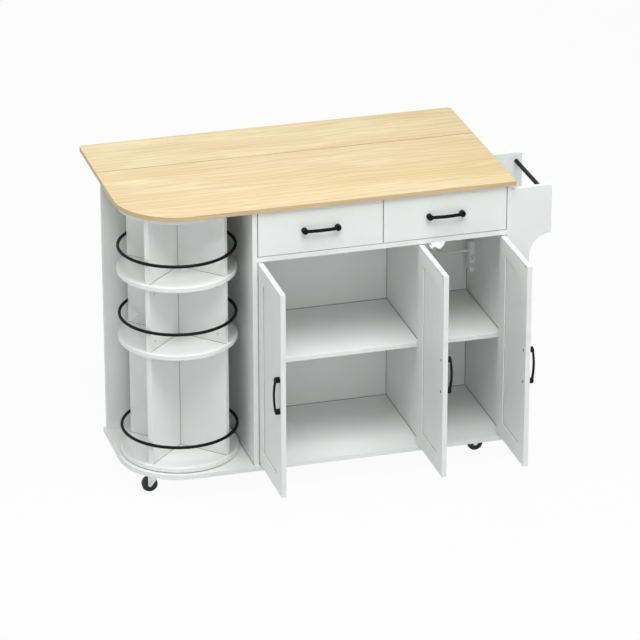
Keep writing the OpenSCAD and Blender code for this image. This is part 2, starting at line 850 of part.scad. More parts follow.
// the coil spirals in on the floor, climbs one layer and spirals out again
function coil_r(t) = coil_in_r + coil_pitch * abs(t - coil_turns / 2);
function coil_rise(t) = min(1, max(0, 2 * (t - coil_turns / 2) + 0.5));
function coil_z(t) = coil_low_z + (coil_high_z - coil_low_z) * (1 - cos(180 * coil_rise(t))) / 2;
function coil_point(t) = [coil_x + coil_r(t) * cos(360 * t), coil_y + coil_r(t) * sin(360 * t), coil_z(t)];
coil_end = coil_point(coil_turns);
coil_path = concat([lead_route[len(lead_route) - 1]],
    [for (i = [0:coil_turns * coil_steps]) coil_point(i / coil_steps)],
    [for (x = [8:10:coil_tail]) coil_end - [x, 0, 0]]);

// least distance between turns that lie one over or beside another
coil_gap = min([for (i = [1:len(coil_path) - 1]) for (j = [i + coil_steps / 2:1:len(coil_path) - 1])
    norm(coil_path[i] - coil_path[j])]) - 2 * lead_r;
echo(coil_gap = coil_gap);

module lead_coil() {
    color(white_plastic) at_home() tube(coil_path, lead_r, coil_sides);
}

// flat strap round all the turns
module lead_tie() {
    near = coil_r(1.625) - lead_r - 1.8;
    far = coil_r(0.625) + lead_r + 1.8;
    tall = coil_high_z + lead_r + 1.5;
    color(tyre_black) at_home() translate([coil_x, coil_y, 0]) rotate(tie_turn) difference() {
        board([near, -tie_w / 2, 0], [far, tie_w / 2, tall]);
        board([near + tie_t, -tie_w, tie_t], [far - tie_t, tie_w, tall - tie_t]);
    }
}

// plug with its strain relief, two flat blades and a round pin
module lead_plug() {
    body_x = -plug_relief - plug_l;
    color(white_plastic) at_home() translate([coil_end.x - coil_tail, coil_end.y, coil_high_z]) {
        translate([-plug_relief, 0, 0]) rotate([0, 90, 0]) relief(plug_h / 4, plug_relief);
        translate([body_x, 0, 0]) rotate([90, 0, 90]) linear_extrude(plug_l)
            rounded_square(plug_w, plug_h - 0.4, plug_corner_r);
        for (side = [-1, 1])
            translate([body_x - blade_l / 2 + 1, side * blade_off, blade_up])
                cube([blade_l + 2, blade_t, blade_w], center = true);
        translate([body_x - blade_l, 0, -earth_pin_down]) rotate([0, 90, 0])
            cylinder(r = earth_pin_r, h = blade_l + 2);
    }
}

module rounded_square(w, h, r) {
    difference() {
        square([w, h], center = true);
        corner_waste(-w / 2, -h / 2, r, 0, 32);
        corner_waste(w / 2, -h / 2, r, 90, 32);
        corner_waste(w / 2, h / 2, r, 180, 32);
        corner_waste(-w / 2, h / 2, r, 270, 32);
    }
}

// ---------------------------------------------------------------- handles

// arched bar on two round feet, along x, its base at y = 0, reaching to -y
module handle(through_board) {
    half = handle_pitch / 2 + handle_foot_r;
    arc_r = (half * half + handle_arch * handle_arch) / (2 * handle_arch);
    arc_y = arc_r - handle_reach;
    translate([0, 0, -handle_bar_w / 2]) linear_extrude(handle_bar_w) intersection() {
        difference() {
            translate([0, arc_y]) circle(arc_r, $fn = 360);
            translate([0, arc_y]) circle(arc_r - handle_bar_t, $fn = 360);
        }
        translate([-handle_pitch / 2, -handle_reach - 1]) square([handle_pitch, handle_reach]);
    }
    for (side = [-1, 1]) {
        intersection() {
            translate([side * handle_pitch / 2, 0, 0]) rotate([90, 0, 0])
                cylinder(r = handle_foot_r, h = handle_reach);
            translate([0, arc_y, 0]) cylinder(r = arc_r, h = 3 * handle_foot_r, center = true, $fn = 360);
        }
        // screw from the board's inner face
        translate([side * handle_pitch / 2, 0, 0]) rotate([-90, 0, 0]) {
            translate([0, 0, -4]) cylinder(r = screw_r, h = through_board + 4);
            translate([0, 0, through_board]) cylinder(r = screw_head_r, h = screw_head_h);
        }
    }
}

// the two screw holes in the board behind a handle
module handle_holes() {
    for (side = [-1, 1])
        translate([side * handle_pitch / 2, -through, 0]) rotate([-90, 0, 0])
            cylinder(r = screw_r + running, h = board_t + 2 * through);
}

// ---------------------------------------------------------------- drawers

module drawer_front(left) {
    mid_z = (drawer_front_foot + drawer_front_head) / 2;
    color(white_paint) at_home() difference() {
        board([left, 0, drawer_front_foot], [left + drawer_front_w, board_t, drawer_front_head]);
        translate([left + drawer_front_w / 2, 0, mid_z]) handle_holes();
    }
}

module drawer_handle(left) {
    mid_z = (drawer_front_foot + drawer_front_head) / 2;
    color(black_steel) at_home() translate([left + drawer_front_w / 2, 0, mid_z]) handle(board_t);
}

// two sides, a back and a thin floor let into the sides
module drawer_box(left) {
    right = left + drawer_box_w;
    floor_z = drawer_box_foot + drawer_floor_up;
    groove = drawer_side_t / 2;
    color(white_paint) at_home() {
        difference() {
            for (x = [left, right - drawer_side_t])
                board([x, board_t, drawer_box_foot],
                      [x + drawer_side_t, drawer_back_y, drawer_box_foot + drawer_side_h]);
            board([left + drawer_side_t - groove, board_t - through, floor_z - 0.1],
                  [right - drawer_side_t + groove, drawer_back_y + through, floor_z + drawer_floor_t + 0.1]);
        }
        board([left + drawer_side_t - groove + 0.2, board_t, floor_z],
              [right - drawer_side_t + groove - 0.2, drawer_back_y, floor_z + drawer_floor_t]);
        board([left + drawer_side_t + 0.1, drawer_back_y - drawer_side_t, floor_z + drawer_floor_t + 0.1],
              [right - drawer_side_t - 0.1, drawer_back_y, drawer_box_foot + drawer_side_h]);
    }
}

// channel lying along y on the plane x = 0, open towards +x
module channel(height, reach) {
    translate([0, slide_start, slide_z - height / 2]) difference() {
        cube([reach, slide_len, height]);
        translate([slide_sheet, -through, slide_sheet])
            cube([reach, slide_len + 2 * through, height - 2 * slide_sheet]);
    }
}

module track(face_x, facing) {
    translate([face_x, 0, 0]) scale([facing, 1, 1]) channel(slide_h, slide_lip);
}

module drawer_tracks() {
    color(zinc_steel) at_home() {
        track(0, 1);
        track(drawer_mid_x - board_t / 2, -1);
        track(drawer_mid_x + board_t / 2, 1);
        track(cabinet_w, -1);
    }
}

// a drawer's two slides, each running inside its track
module drawer_slides(left) {
    right = left + drawer_box_w;
    height = slide_h - 2 * (slide_sheet + slide_play);
    reach = slide_space - 3;
    color(zinc_steel) at_home() {
        translate([left, 0, 0]) scale([-1, 1, 1]) channel(height, reach);
        translate([right, 0, 0]) channel(height, reach);
    }
}

module drawer_front_left() {
    drawer_front(door_side_gap);
}

module drawer_front_right() {
    drawer_front(drawer_right_x);
}

module drawer_handle_left() {
    drawer_handle(door_side_gap);
}

module drawer_handle_right() {
    drawer_handle(drawer_right_x);
}

module drawer_box_left() {
    drawer_box(slide_space);
}

module drawer_box_right() {
    drawer_box(box_right_x);
}

module drawer_slides_left() {
    drawer_slides(slide_space);
}

module drawer_slides_right() {
    drawer_slides(box_right_x);
}

// ---------------------------------------------------------------- doors

// drawn closed, then turned about its pin to stand open
module opened(pin_x, turn) {
    translate([pin_x, door_pin_back, 0]) rotate(turn) translate([-pin_x, -door_pin_back, 0]) children();
}

module door(left, pin_x, free_x, inwards, turn) {
    color(white_paint) at_home() opened(pin_x, turn) difference() {
        board([left, 0, door_foot], [left + door_w, board_t, door_head]);
        for (y = [-through, board_t - door_sunk])
            board([left + door_frame_w, y, door_foot + door_frame_w],
                  [left + door_w - door_frame_w, y + door_sunk + through, door_head - door_frame_w]);
        for (z = [door_foot - through, door_head - door_pin_reach - 0.5])
            translate([pin_x, door_pin_back, z])
                cylinder(r = door_pin_r + running, h = door_pin_reach + 0.5 + through);
        translate([free_x + inwards * handle_edge, 0, door_handle_z]) rotate([0, 90, 0]) handle_holes();
        // seat of the strike that meets the magnet
        translate([free_x + inwards * strike_edge, board_t - strike_d, door_head - strike_down])
            rotate([-90, 0, 0]) cylinder(r = strike_r, h = strike_d + through);
    }
}

module door_handle(free_x, inwards, pin_x, turn) {
    color(black_steel) at_home() opened(pin_x, turn)
        translate([free_x + inwards * handle_edge, 0, door_handle_z]) rotate([0, 90, 0]) handle(board_t);
}

module door_left() {
    door(door_side_gap, door_left_pin_x, door_left_free_x, -1, -90);
}

module door_middle() {
    door(door_middle_free_x, door_middle_pin_x, door_middle_free_x, 1, 90);
}

module door_right() {
    door(door_right_free_x, door_right_pin_x, door_right_free_x, 1, 90);
}

module door_handle_left() {
    door_handle(door_left_free_x, -1, door_left_pin_x, -90);
}

module door_handle_middle() {
    door_handle(door_middle_free_x, 1, door_middle_pin_x, 90);
}

module door_handle_right() {
    door_handle(door_right_free_x, 1, door_right_pin_x, 90);
}

// one pivot: bush let into the board, collar in the gap, pin in the door's edge
module pivot(gap) {
    translate([0, 0, -pivot_bush_d]) cylinder(r = pivot_bush_r, h = pivot_bush_d + 0.5);
    cylinder(r = door_pin_r + 2, h = gap - slack);
    cylinder(r = door_pin_r, h = gap + door_pin_reach);
}

module door_pivots() {
    color(zinc_steel) at_home() for (x = door_pin_xs) {
        translate([x, door_pin_back, floor_top]) pivot(door_foot_gap);
        translate([x, door_pin_back, deck_under]) rotate([180, 0, 0]) pivot(door_head_gap);
    }
}

module door_magnets() {
    color(white_plastic) at_home()
        for (x = [magnet_left_x, magnet_middle_x, magnet_right_x])
            board([x - magnet_w / 2, board_t + magnet_gap, deck_under - magnet_h],
                  [x + magnet_w / 2, board_t + magnet_gap + magnet_d, deck_under]);
}

// ---------------------------------------------------------------- turning tower

module at_tower(z) {
    at_home() translate([tower_x, tower_y, z]) children();
}

// round board with eased edges
module disc(t) {
    rotate_extrude($fn = 128) difference() {
        square([disc_r, t]);
        corner_waste(disc_r, 0, disc_edge_r, 90, 32);
        corner_waste(disc_r, t, disc_edge_r, 180, 32);
    }
}

module tower_shelves() {
    color(white_paint) {
        at_tower(disc_low_z - board_t) difference() {
            disc(board_t);
            translate([0, 0, -through]) cylinder(r = race_r, h = race_recess + through, $fn = 96);
            translate([0, 0, -through]) cylinder(r = spindle_r + running, h = board_t - 2 + through);
        }
        for (z = [disc_mid_z, disc_high_z])
            at_tower(z - board_t) disc(board_t);
    }
}

module tower_top() {
    color(white_paint) at_tower(tower_top_foot) difference() {
        disc(disc_top_t);
        translate([0, 0, 1.5]) cylinder(r = spindle_r + running, h = disc_top_t);
    }
}

// crossed boards between the discs: one whole, two halves against it
module tower_fins() {
    color(white_paint) for (level = [0:2])
        at_tower(shelf_levels[level]) rotate(45) difference() {
            union() {
                fin(-fin_reach, fin_reach, level);
                rotate(90) fin(board_t / 2 + 0.1, fin_reach, level);
                rotate(90) fin(-fin_reach, -board_t / 2 - 0.1, level);
            }
            for (turn = [0:90:270])
                rotate(turn) translate([fin_reach - stud_len - 0.5, 0, ring_above_shelf]) rotate([0, 90, 0])
                    cylinder(r = stud_r + running, h = stud_len + 2);
        }
}

module fin(from, to, level) {
    board([from, -board_t / 2, 0], [to, board_t / 2, fin_heads[level] - shelf_levels[level]]);
}

module guard_rings() {
    color(black_steel) for (z = shelf_levels)
        at_tower(z + ring_above_shelf) {
            rotate_extrude($fn = 128) translate([ring_r, 0]) circle(ring_wire_d / 2, $fn = 24);
            for (turn = [45:90:315])
                rotate(turn) translate([fin_reach - stud_len, 0, 0]) rotate([0, 90, 0])
                    cylinder(r = stud_r, h = ring_r - fin_reach + stud_len);
        }
}

// bearing ring under the lowest shelf
module turntable_ring() {
    foot = floor_top + race_t + slack;
    color(zinc_steel) at_tower(foot) difference() {
        cylinder(r = race_r - 1, h = disc_low_z - board_t + race_recess - foot, $fn = 96);
        translate([0, 0, -through]) cylinder(r = ring_bearing_in, h = board_t, $fn = 96);
    }
}

module tower_spindles() {
    color(zinc_steel) {
        at_tower(floor_top) {
            cylinder(r = race_r, h = race_t, $fn = 96);
            cylinder(r = spindle_r, h = disc_low_z - 3 - floor_top);
        }
        at_tower(tower_top_foot + 2) {
            cylinder(r = spindle_r, h = top_under - tower_top_foot - 2);
            translate([0, 0, top_under - tower_top_foot - 2 - race_t])
                cylinder(r = upper_plate_r, h = race_t);
        }
    }
}

// ---------------------------------------------------------------- casters

module at_caster(spot, z) {
    at_home() translate([caster_spots[spot].x, caster_spots[spot].y, z]) rotate(caster_turn) children();
}

module caster_plates() {
    stem = fork_plate_z - slack;
    hole_at = caster_plate / 2 - plate_hole_in;
    color(zinc_steel) for (spot = [0:3])
        at_caster(spot, 0) difference() {
            union() {
                translate([0, 0, caster_h - plate_t / 2]) rotate(-caster_turn)
                    cube([caster_plate, caster_plate, plate_t], center = true);
                translate([0, 0, fork_top + slack])
                    cylinder(r = raceway_r, h = caster_h - plate_t - fork_top - slack);
                translate([0, 0, stem]) cylinder(r = kingpin_r, h = caster_h - stem - 1);
                translate([0, 0, stem - kingpin_head_t]) cylinder(r = kingpin_head_r, h = kingpin_head_t);
            }
            rotate(-caster_turn) for (x = [-1, 1], y = [-1, 1])
                translate([x * hole_at, y * hole_at, caster_h - plate_t - through])
                    cylinder(r = fixing_hole_r, h = plate_t + 2 * through);
        }
}

// where the line from p touches the circle round c, on its left when looking from p
function touch(p, c, r) =
    let (away = c - p, d = norm(away), turn = atan2(away.y, away.x) - asin(r / d))
        p + sqrt(d * d - r * r) * [cos(turn), sin(turn)];

// side of the fork, drawn in the wheel's plane
module cheek() {
    axle = [caster_trail, wheel_r];
    heel = [fork_back, fork_plate_z + plate_t];
    polygon([heel, [caster_trail + fork_nose_r, heel.y], [caster_trail + fork_nose_r, wheel_r], axle,
        touch(heel, axle, fork_nose_r)]);
    translate(axle) circle(fork_nose_r);
}

module caster_fork(spot) {
    outer = wheel_w / 2 + fork_gap + fork_sheet;
    color(zinc_steel) at_caster(spot, 0) {
        difference() {
            union() {
                translate([fork_back, -outer, fork_plate_z])
                    cube([caster_trail + fork_nose_r - fork_back, 2 * outer, plate_t]);
                translate([0, 0, fork_plate_z]) cylinder(r = raceway_r + 1, h = fork_top - fork_plate_z);
            }
            translate([0, 0, fork_plate_z - through]) cylinder(r = kingpin_r + running, h = caster_h);
        }
        for (y = [outer, fork_sheet - outer])
            translate([0, y, 0]) rotate([90, 0, 0]) linear_extrude(fork_sheet) cheek();
        translate([caster_trail, 0, wheel_r]) rotate([90, 0, 0]) {
            cylinder(r = axle_r, h = 2 * outer + 2, center = true);
            for (side = [-1, 1])
                translate([0, 0, side * (outer + axle_head_t / 2)])
                    cylinder(r = axle_r + axle_head_over, h = axle_head_t, center = true);
        }
    }
}

// wheel with rounded shoulders, a sunk web on both sides and a hub
module caster_wheel(spot) {
    half = wheel_w / 2;
    bore = axle_r + running;
    color(tyre_black) at_caster(spot, 0) translate([caster_trail, 0, wheel_r]) rotate([90, 0, 0])
        rotate_extrude($fn = 96) {
            difference() {
                translate([bore, -half]) square([wheel_r - bore, wheel_w]);
                corner_waste(wheel_r, -half, tread_round, 90, 32);
                corner_waste(wheel_r, half, tread_round, 180, 32);
                for (y = [-half - through, half - web_sunk])
                    translate([axle_r + 4, y]) square([wheel_r - axle_r - 10, web_sunk + through]);
            }
            translate([bore, -half - fork_gap + slack]) square([3, wheel_w + 2 * (fork_gap - slack)]);
        }
}

module caster_fork_front_left() {
    caster_fork(0);
}

module caster_wheel_front_left() {
    caster_wheel(0);
}

module caster_fork_front_right() {
    caster_fork(1);
}

module caster_wheel_front_right() {
    caster_wheel(1);
}

module caster_fork_rear_left() {
    caster_fork(2);
}

module caster_wheel_rear_left() {
    caster_wheel(2);
}

module caster_fork_rear_right() {
    caster_fork(3);
}

module caster_wheel_rear_right() {
    caster_wheel(3);
}

// ---------------------------------------------------------------- the parts, by name

worktop();
bottom_panel();
left_wall();
right_wall();
divider();
back_panel();
end_back_board();
drawer_deck();
drawer_divider();
rear_rail();
shelf_left();
shelf_right();
shelf_pins();
leaf_hinges_fixed();
stay_rails();
towel_brackets();
towel_rod();
socket_box();
lead_gland();
power_lead();
lead_coil();
lead_tie();
lead_plug();
drawer_tracks();
door_pivots();
door_magnets();
tower_spindles();
caster_plates();
drop_leaf();
leaf_hinges_moving();
stay_arms();
strut_left();
strut_right();
drawer_front_left();
drawer_box_left();
drawer_slides_left();
drawer_handle_left();
drawer_front_right();
drawer_box_right();
drawer_slides_right();
drawer_handle_right();
door_left();
door_middle();
door_right();
door_handle_left();
door_handle_middle();
door_handle_right();
tower_shelves();
tower_top();
tower_fins();
guard_rings();
turntable_ring();
caster_fork_front_left();
caster_fork_front_right();
caster_fork_rear_left();
caster_fork_rear_right();
caster_wheel_front_left();
caster_wheel_front_right();
caster_wheel_rear_left();
caster_wheel_rear_right();
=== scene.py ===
"""Looks of a drop leaf kitchen island: finishes, small hardware, the lead and the studio.

Sizes of the island are in millimetres and places run from the left wall's inner face, the
cabinet's front plane and the floor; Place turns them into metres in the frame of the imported
model. The studio is measured in metres, and a material's pattern in features for each metre.
"""

from __future__ import annotations

import logging
import math
from dataclasses import dataclass, field
from enum import Enum

import bmesh
import bpy
from mathutils import Matrix, Vector


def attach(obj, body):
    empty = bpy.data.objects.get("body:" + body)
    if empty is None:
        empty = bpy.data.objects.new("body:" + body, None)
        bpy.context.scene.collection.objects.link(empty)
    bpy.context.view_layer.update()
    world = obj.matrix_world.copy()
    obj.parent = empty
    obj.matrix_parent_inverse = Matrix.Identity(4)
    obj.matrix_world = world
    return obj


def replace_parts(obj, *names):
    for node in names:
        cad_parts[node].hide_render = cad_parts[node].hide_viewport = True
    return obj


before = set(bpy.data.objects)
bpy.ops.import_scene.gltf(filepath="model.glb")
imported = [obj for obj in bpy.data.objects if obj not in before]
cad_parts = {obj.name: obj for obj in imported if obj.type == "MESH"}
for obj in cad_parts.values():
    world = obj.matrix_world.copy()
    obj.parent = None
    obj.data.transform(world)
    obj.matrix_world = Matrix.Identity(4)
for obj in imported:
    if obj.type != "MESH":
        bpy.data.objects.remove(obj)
log = logging.getLogger("island")
logging.basicConfig(level=logging.INFO, format="%(name)s: %(message)s")

Triple = tuple[float, float, float]
Pair = tuple[float, float]
Spot = tuple[Vector, Triple]
Line = tuple[Vector, Vector]
Node = bpy.types.Node
Obj = bpy.types.Object
Socket = bpy.types.NodeSocket

MM = 0.001
ZERO: Triple = (0.0, 0.0, 0.0)
ONES: Triple = (1.0, 1.0, 1.0)
TO_RIGHT: Triple = (1.0, 0.0, 0.0)
TO_LEFT: Triple = (-1.0, 0.0, 0.0)
TO_BACK: Triple = (0.0, 1.0, 0.0)
UP: Triple = (0.0, 0.0, 1.0)
DOWN: Triple = (0.0, 0.0, -1.0)


# ------------------------------------------------------------------ places and measures


@dataclass(frozen=True)
class Place:
    """Turns cabinet measures in millimetres into the model's frame in metres."""

    origin_x: float = 261.25
    origin_y: float = 194.6167

    def at(self, x: float, y: float, z: float) -> Vector:
        """The point at cabinet measures x, y, z in millimetres."""
        return Vector(((x - self.origin_x) * MM, (y - self.origin_y) * MM, z * MM))


@dataclass(frozen=True)
class IslandSizes:
    """Main measures of the island in millimetres, from the cabinet's own zero."""

    board: float = 15.0
    cabinet_w: float = 772.0
    back_inner_y: float = 373.0
    back_outer_y: float = 378.0
    floor_top: float = 79.0
    top_under: float = 899.0
    door_pin_back: float = 5.0
    door_w: float = 253.4667
    door_foot: float = 85.0
    door_head: float = 736.5
    handle_pitch: float = 102.0
    handle_screw: float = 1.18
    leaf_axis_y: float = 402.75
    hinge_xs: Triple = (-280.0, 203.0, 686.0)
    stay_xs: Pair = (-122.0, 528.0)
    tower_x: float = -200.0
    tower_y: float = 180.0
    shelf_levels: Triple = (97.0, 466.0, 684.0)


PLACE = Place()
SIZES = IslandSizes()


class Body(str, Enum):
    """Moving bodies of the island by the names that the model gives them."""

    CABINET = "cabinet"
    LEAF = "drop_leaf"
    DRAWER_LEFT = "drawer_left"
    DRAWER_RIGHT = "drawer_right"
    DOOR_LEFT = "door_left"
    DOOR_MIDDLE = "door_middle"
    DOOR_RIGHT = "door_right"
    TOWER = "shelf_tower"


# ------------------------------------------------------------------ node trees


class Tree:
    """A node tree with short calls to add and join nodes."""

    def __init__(self, tree: bpy.types.NodeTree) -> None:
        """Keeps the tree, emptied."""
        self.tree = tree
        self.tree.nodes.clear()

    def add(self, kind: str, feeds: dict[str | int, object] | None = None, **settings: object) -> Node:
        """Adds a node.

        Args:
            kind: the node's type name.
            feeds: a socket or a plain value for each input, by its name or number.
            settings: attributes to set on the node.

        Returns:
            The new node.
        """
        node = self.tree.nodes.new(kind)
        for key, value in settings.items():
            setattr(node, key, value)
        for place, value in (feeds or {}).items():
            self.feed(node.inputs[place], value)
        return node

    def feed(self, socket: Socket, value: object) -> None:
        """Links a socket to an input, or sets the input to a plain value.

        Args:
            socket: the input.
            value: another node's socket or a plain value.
        """
        if isinstance(value, Socket):
            self.tree.links.new(value, socket)
        else:
            socket.default_value = value


class Sketch(Tree):
    """A material's node tree, with the steps that finishes are made of."""

    def __init__(self, name: str) -> None:
        """Makes a node material with a bare shader.

        Args:
            name: the material's name.
        """
        self.material = bpy.data.materials.new(name)
        self.material.use_nodes = True
        super().__init__(self.material.node_tree)
        self.shader = self.add("ShaderNodeBsdfPrincipled")
        self.add("ShaderNodeOutputMaterial", {"Surface": self.shader.outputs["BSDF"]})

    def surface(self, **values: object) -> None:
        """Feeds the shader's inputs, whose names are written with _ for a blank."""
        for name, value in values.items():
            self.feed(self.shader.inputs[name.replace("_", " ")], value)

    def stretched(self, where: Socket, scale: Triple, start: Triple = ZERO) -> Socket:
        """A place stretched along the axes.

        Args:
            where: the place's socket.
            scale: factor along x, y and z.
            start: how far it's moved.

        Returns:
            The stretched place's socket.
        """
        feeds = {"Vector": where, "Location": start, "Scale": scale}
        return self.add("ShaderNodeMapping", feeds).outputs["Vector"]

    def place(self, scale: Triple = ONES) -> Socket:
        """Object coordinates, stretched along the axes."""
        return self.stretched(self.add("ShaderNodeTexCoord").outputs["Object"], scale)

    def noise(self, where: Socket, scale: float, detail: float = 2.0, rough: float = 0.5) -> Socket:
        """A noise value from 0 to 1.

        Args:
            where: the vector that it follows.
            scale: features for each metre.
            detail: number of octaves.
            rough: weight of the finer octaves.

        Returns:
            The value's socket.
        """
        feeds = {"Vector": where, "Scale": scale, "Detail": detail, "Roughness": rough}
        return self.add("ShaderNodeTexNoise", feeds).outputs["Fac"]

    def ramp(self, value: Socket, *stops: tuple[float, Triple]) -> Socket:
        """Colours a value.

        Args:
            value: the socket with a value from 0 to 1.
            stops: positions and their colours.

        Returns:
            The colour's socket.
        """
        node = self.add("ShaderNodeValToRGB", {"Fac": value})
        band = node.color_ramp
        while len(band.elements) < len(stops):
            band.elements.new(0.5)
        for element, (position, colour) in zip(band.elements, stops):
            element.position = position
            element.color = (*colour, 1.0)
        return node.outputs["Color"]

    def blend(
        self, share: Socket | float, first: Socket | Triple, second: Socket | Triple, how: str = "MIX"
    ) -> Socket:
        """Mixes two colours.

        Args:
            share: how much of the second.
            first: a colour or the socket of one.
            second: a colour or the socket of one.
            how: the way of mixing.

        Returns:
            The mixed colour's socket.
        """
        node = self.add("ShaderNodeMix", data_type="RGBA", blend_type=how)
        inputs = {socket.identifier: socket for socket in node.inputs}
        for name, value in (("Factor_Float", share), ("A_Color", first), ("B_Color", second)):
            self.feed(inputs[name], (*value, 1.0) if isinstance(value, tuple) else value)
        return next(s for s in node.outputs if s.identifier == "Result_Color")

    def maths(self, how: str, first: Socket, second: Socket | float = 0.0) -> Socket:
        """Reckons with two values.

        Args:
            how: the operation's name.
            first: the first value's socket.
            second: the second value or its socket.

        Returns:
            The result's socket.
        """
        return self.add("ShaderNodeMath", {0: first, 1: second}, operation=how).outputs[0]

    def part(self, vector: Socket, axis: str) -> Socket:
        """One axis of a vector."""
        return self.add("ShaderNodeSeparateXYZ", {0: vector}).outputs[axis]

    def bump(self, height: Socket, depth: float, strength: float) -> None:
        """Raises the surface by a height.

        Args:
            height: the height's socket.
            depth: its full depth in millimetres.
            strength: how much of it is used.
        """
        feeds = {"Height": height, "Distance": depth * MM, "Strength": strength}
        self.surface(Normal=self.add("ShaderNodeBump", feeds).outputs["Normal"])

    def rough_between(self, value: Socket, low: float, high: float) -> None:
        """Lets the roughness follow a value.

        Args:
            value: a value from 0 to 1.
            low: roughness at 0.
            high: roughness at 1.
        """
        feeds = {"Value": value, "To Min": low, "To Max": high}
        self.surface(Roughness=self.add("ShaderNodeMapRange", feeds).outputs["Result"])


def tint(colour: Triple, factor: float) -> Triple:
    """The colour made darker or lighter by a factor."""
    return tuple(min(1.0, value * factor) for value in colour)


# ------------------------------------------------------------------ finishes


@dataclass(frozen=True)
class Finish:
    """A surface finish: what every kind of finish has."""

    name: str
    colour: Triple
    slot: str
    rough: float = 0.5
    clouds: float = 60.0
    texture: float = 240.0

    def material(self) -> bpy.types.Material:
        """Builds the finish once and gives the same material after that.

        Returns:
            The material.
        """
        found = bpy.data.materials.get(self.name)
        if found:
            return found
        sketch = Sketch(self.name)
        self.lay(sketch, sketch.place())
        return sketch.material

    def lay(self, sketch: Sketch, where: Socket) -> None:
        """Lays a plain coat with faint clouds.

        Args:
            sketch: the material's tree.
            where: object coordinates.
        """
        clouds = sketch.noise(where, self.clouds, 3.0)
        sketch.surface(Base_Color=sketch.blend(clouds, tint(self.colour, 0.97), self.colour))
        sketch.rough_between(sketch.noise(where, self.texture), self.rough - 0.04, self.rough + 0.04)


@dataclass(frozen=True)
class PaintedBoard(Finish):
    """Rolled satin paint on fibreboard: faint cloudiness and fine orange peel."""

    clouds: float = 7.0
    texture: float = 35.0
    specks: float = 900.0
    peel: float = 620.0
    peel_h: float = 0.05

    def lay(self, sketch: Sketch, where: Socket) -> None:
        """Lays the paint.

        Args:
            sketch: the material's tree.
            where: object coordinates.
        """
        clouds = sketch.noise(where, self.clouds, 3.0, 0.6)
        tone = sketch.ramp(clouds, (0.3, tint(self.colour, 0.972)), (0.7, self.colour))
        specks = sketch.noise(where, self.specks, 1.0)
        specks = sketch.ramp(specks, (0.28, (0.94, 0.94, 0.93)), (0.34, ONES))
        sketch.surface(Base_Color=sketch.blend(1.0, tone, specks, "MULTIPLY"), Specular_IOR_Level=0.35)
        sketch.rough_between(sketch.noise(where, self.texture, 4.0), self.rough - 0.05, self.rough + 0.07)
        sketch.bump(sketch.noise(where, self.peel), self.peel_h, 0.5)


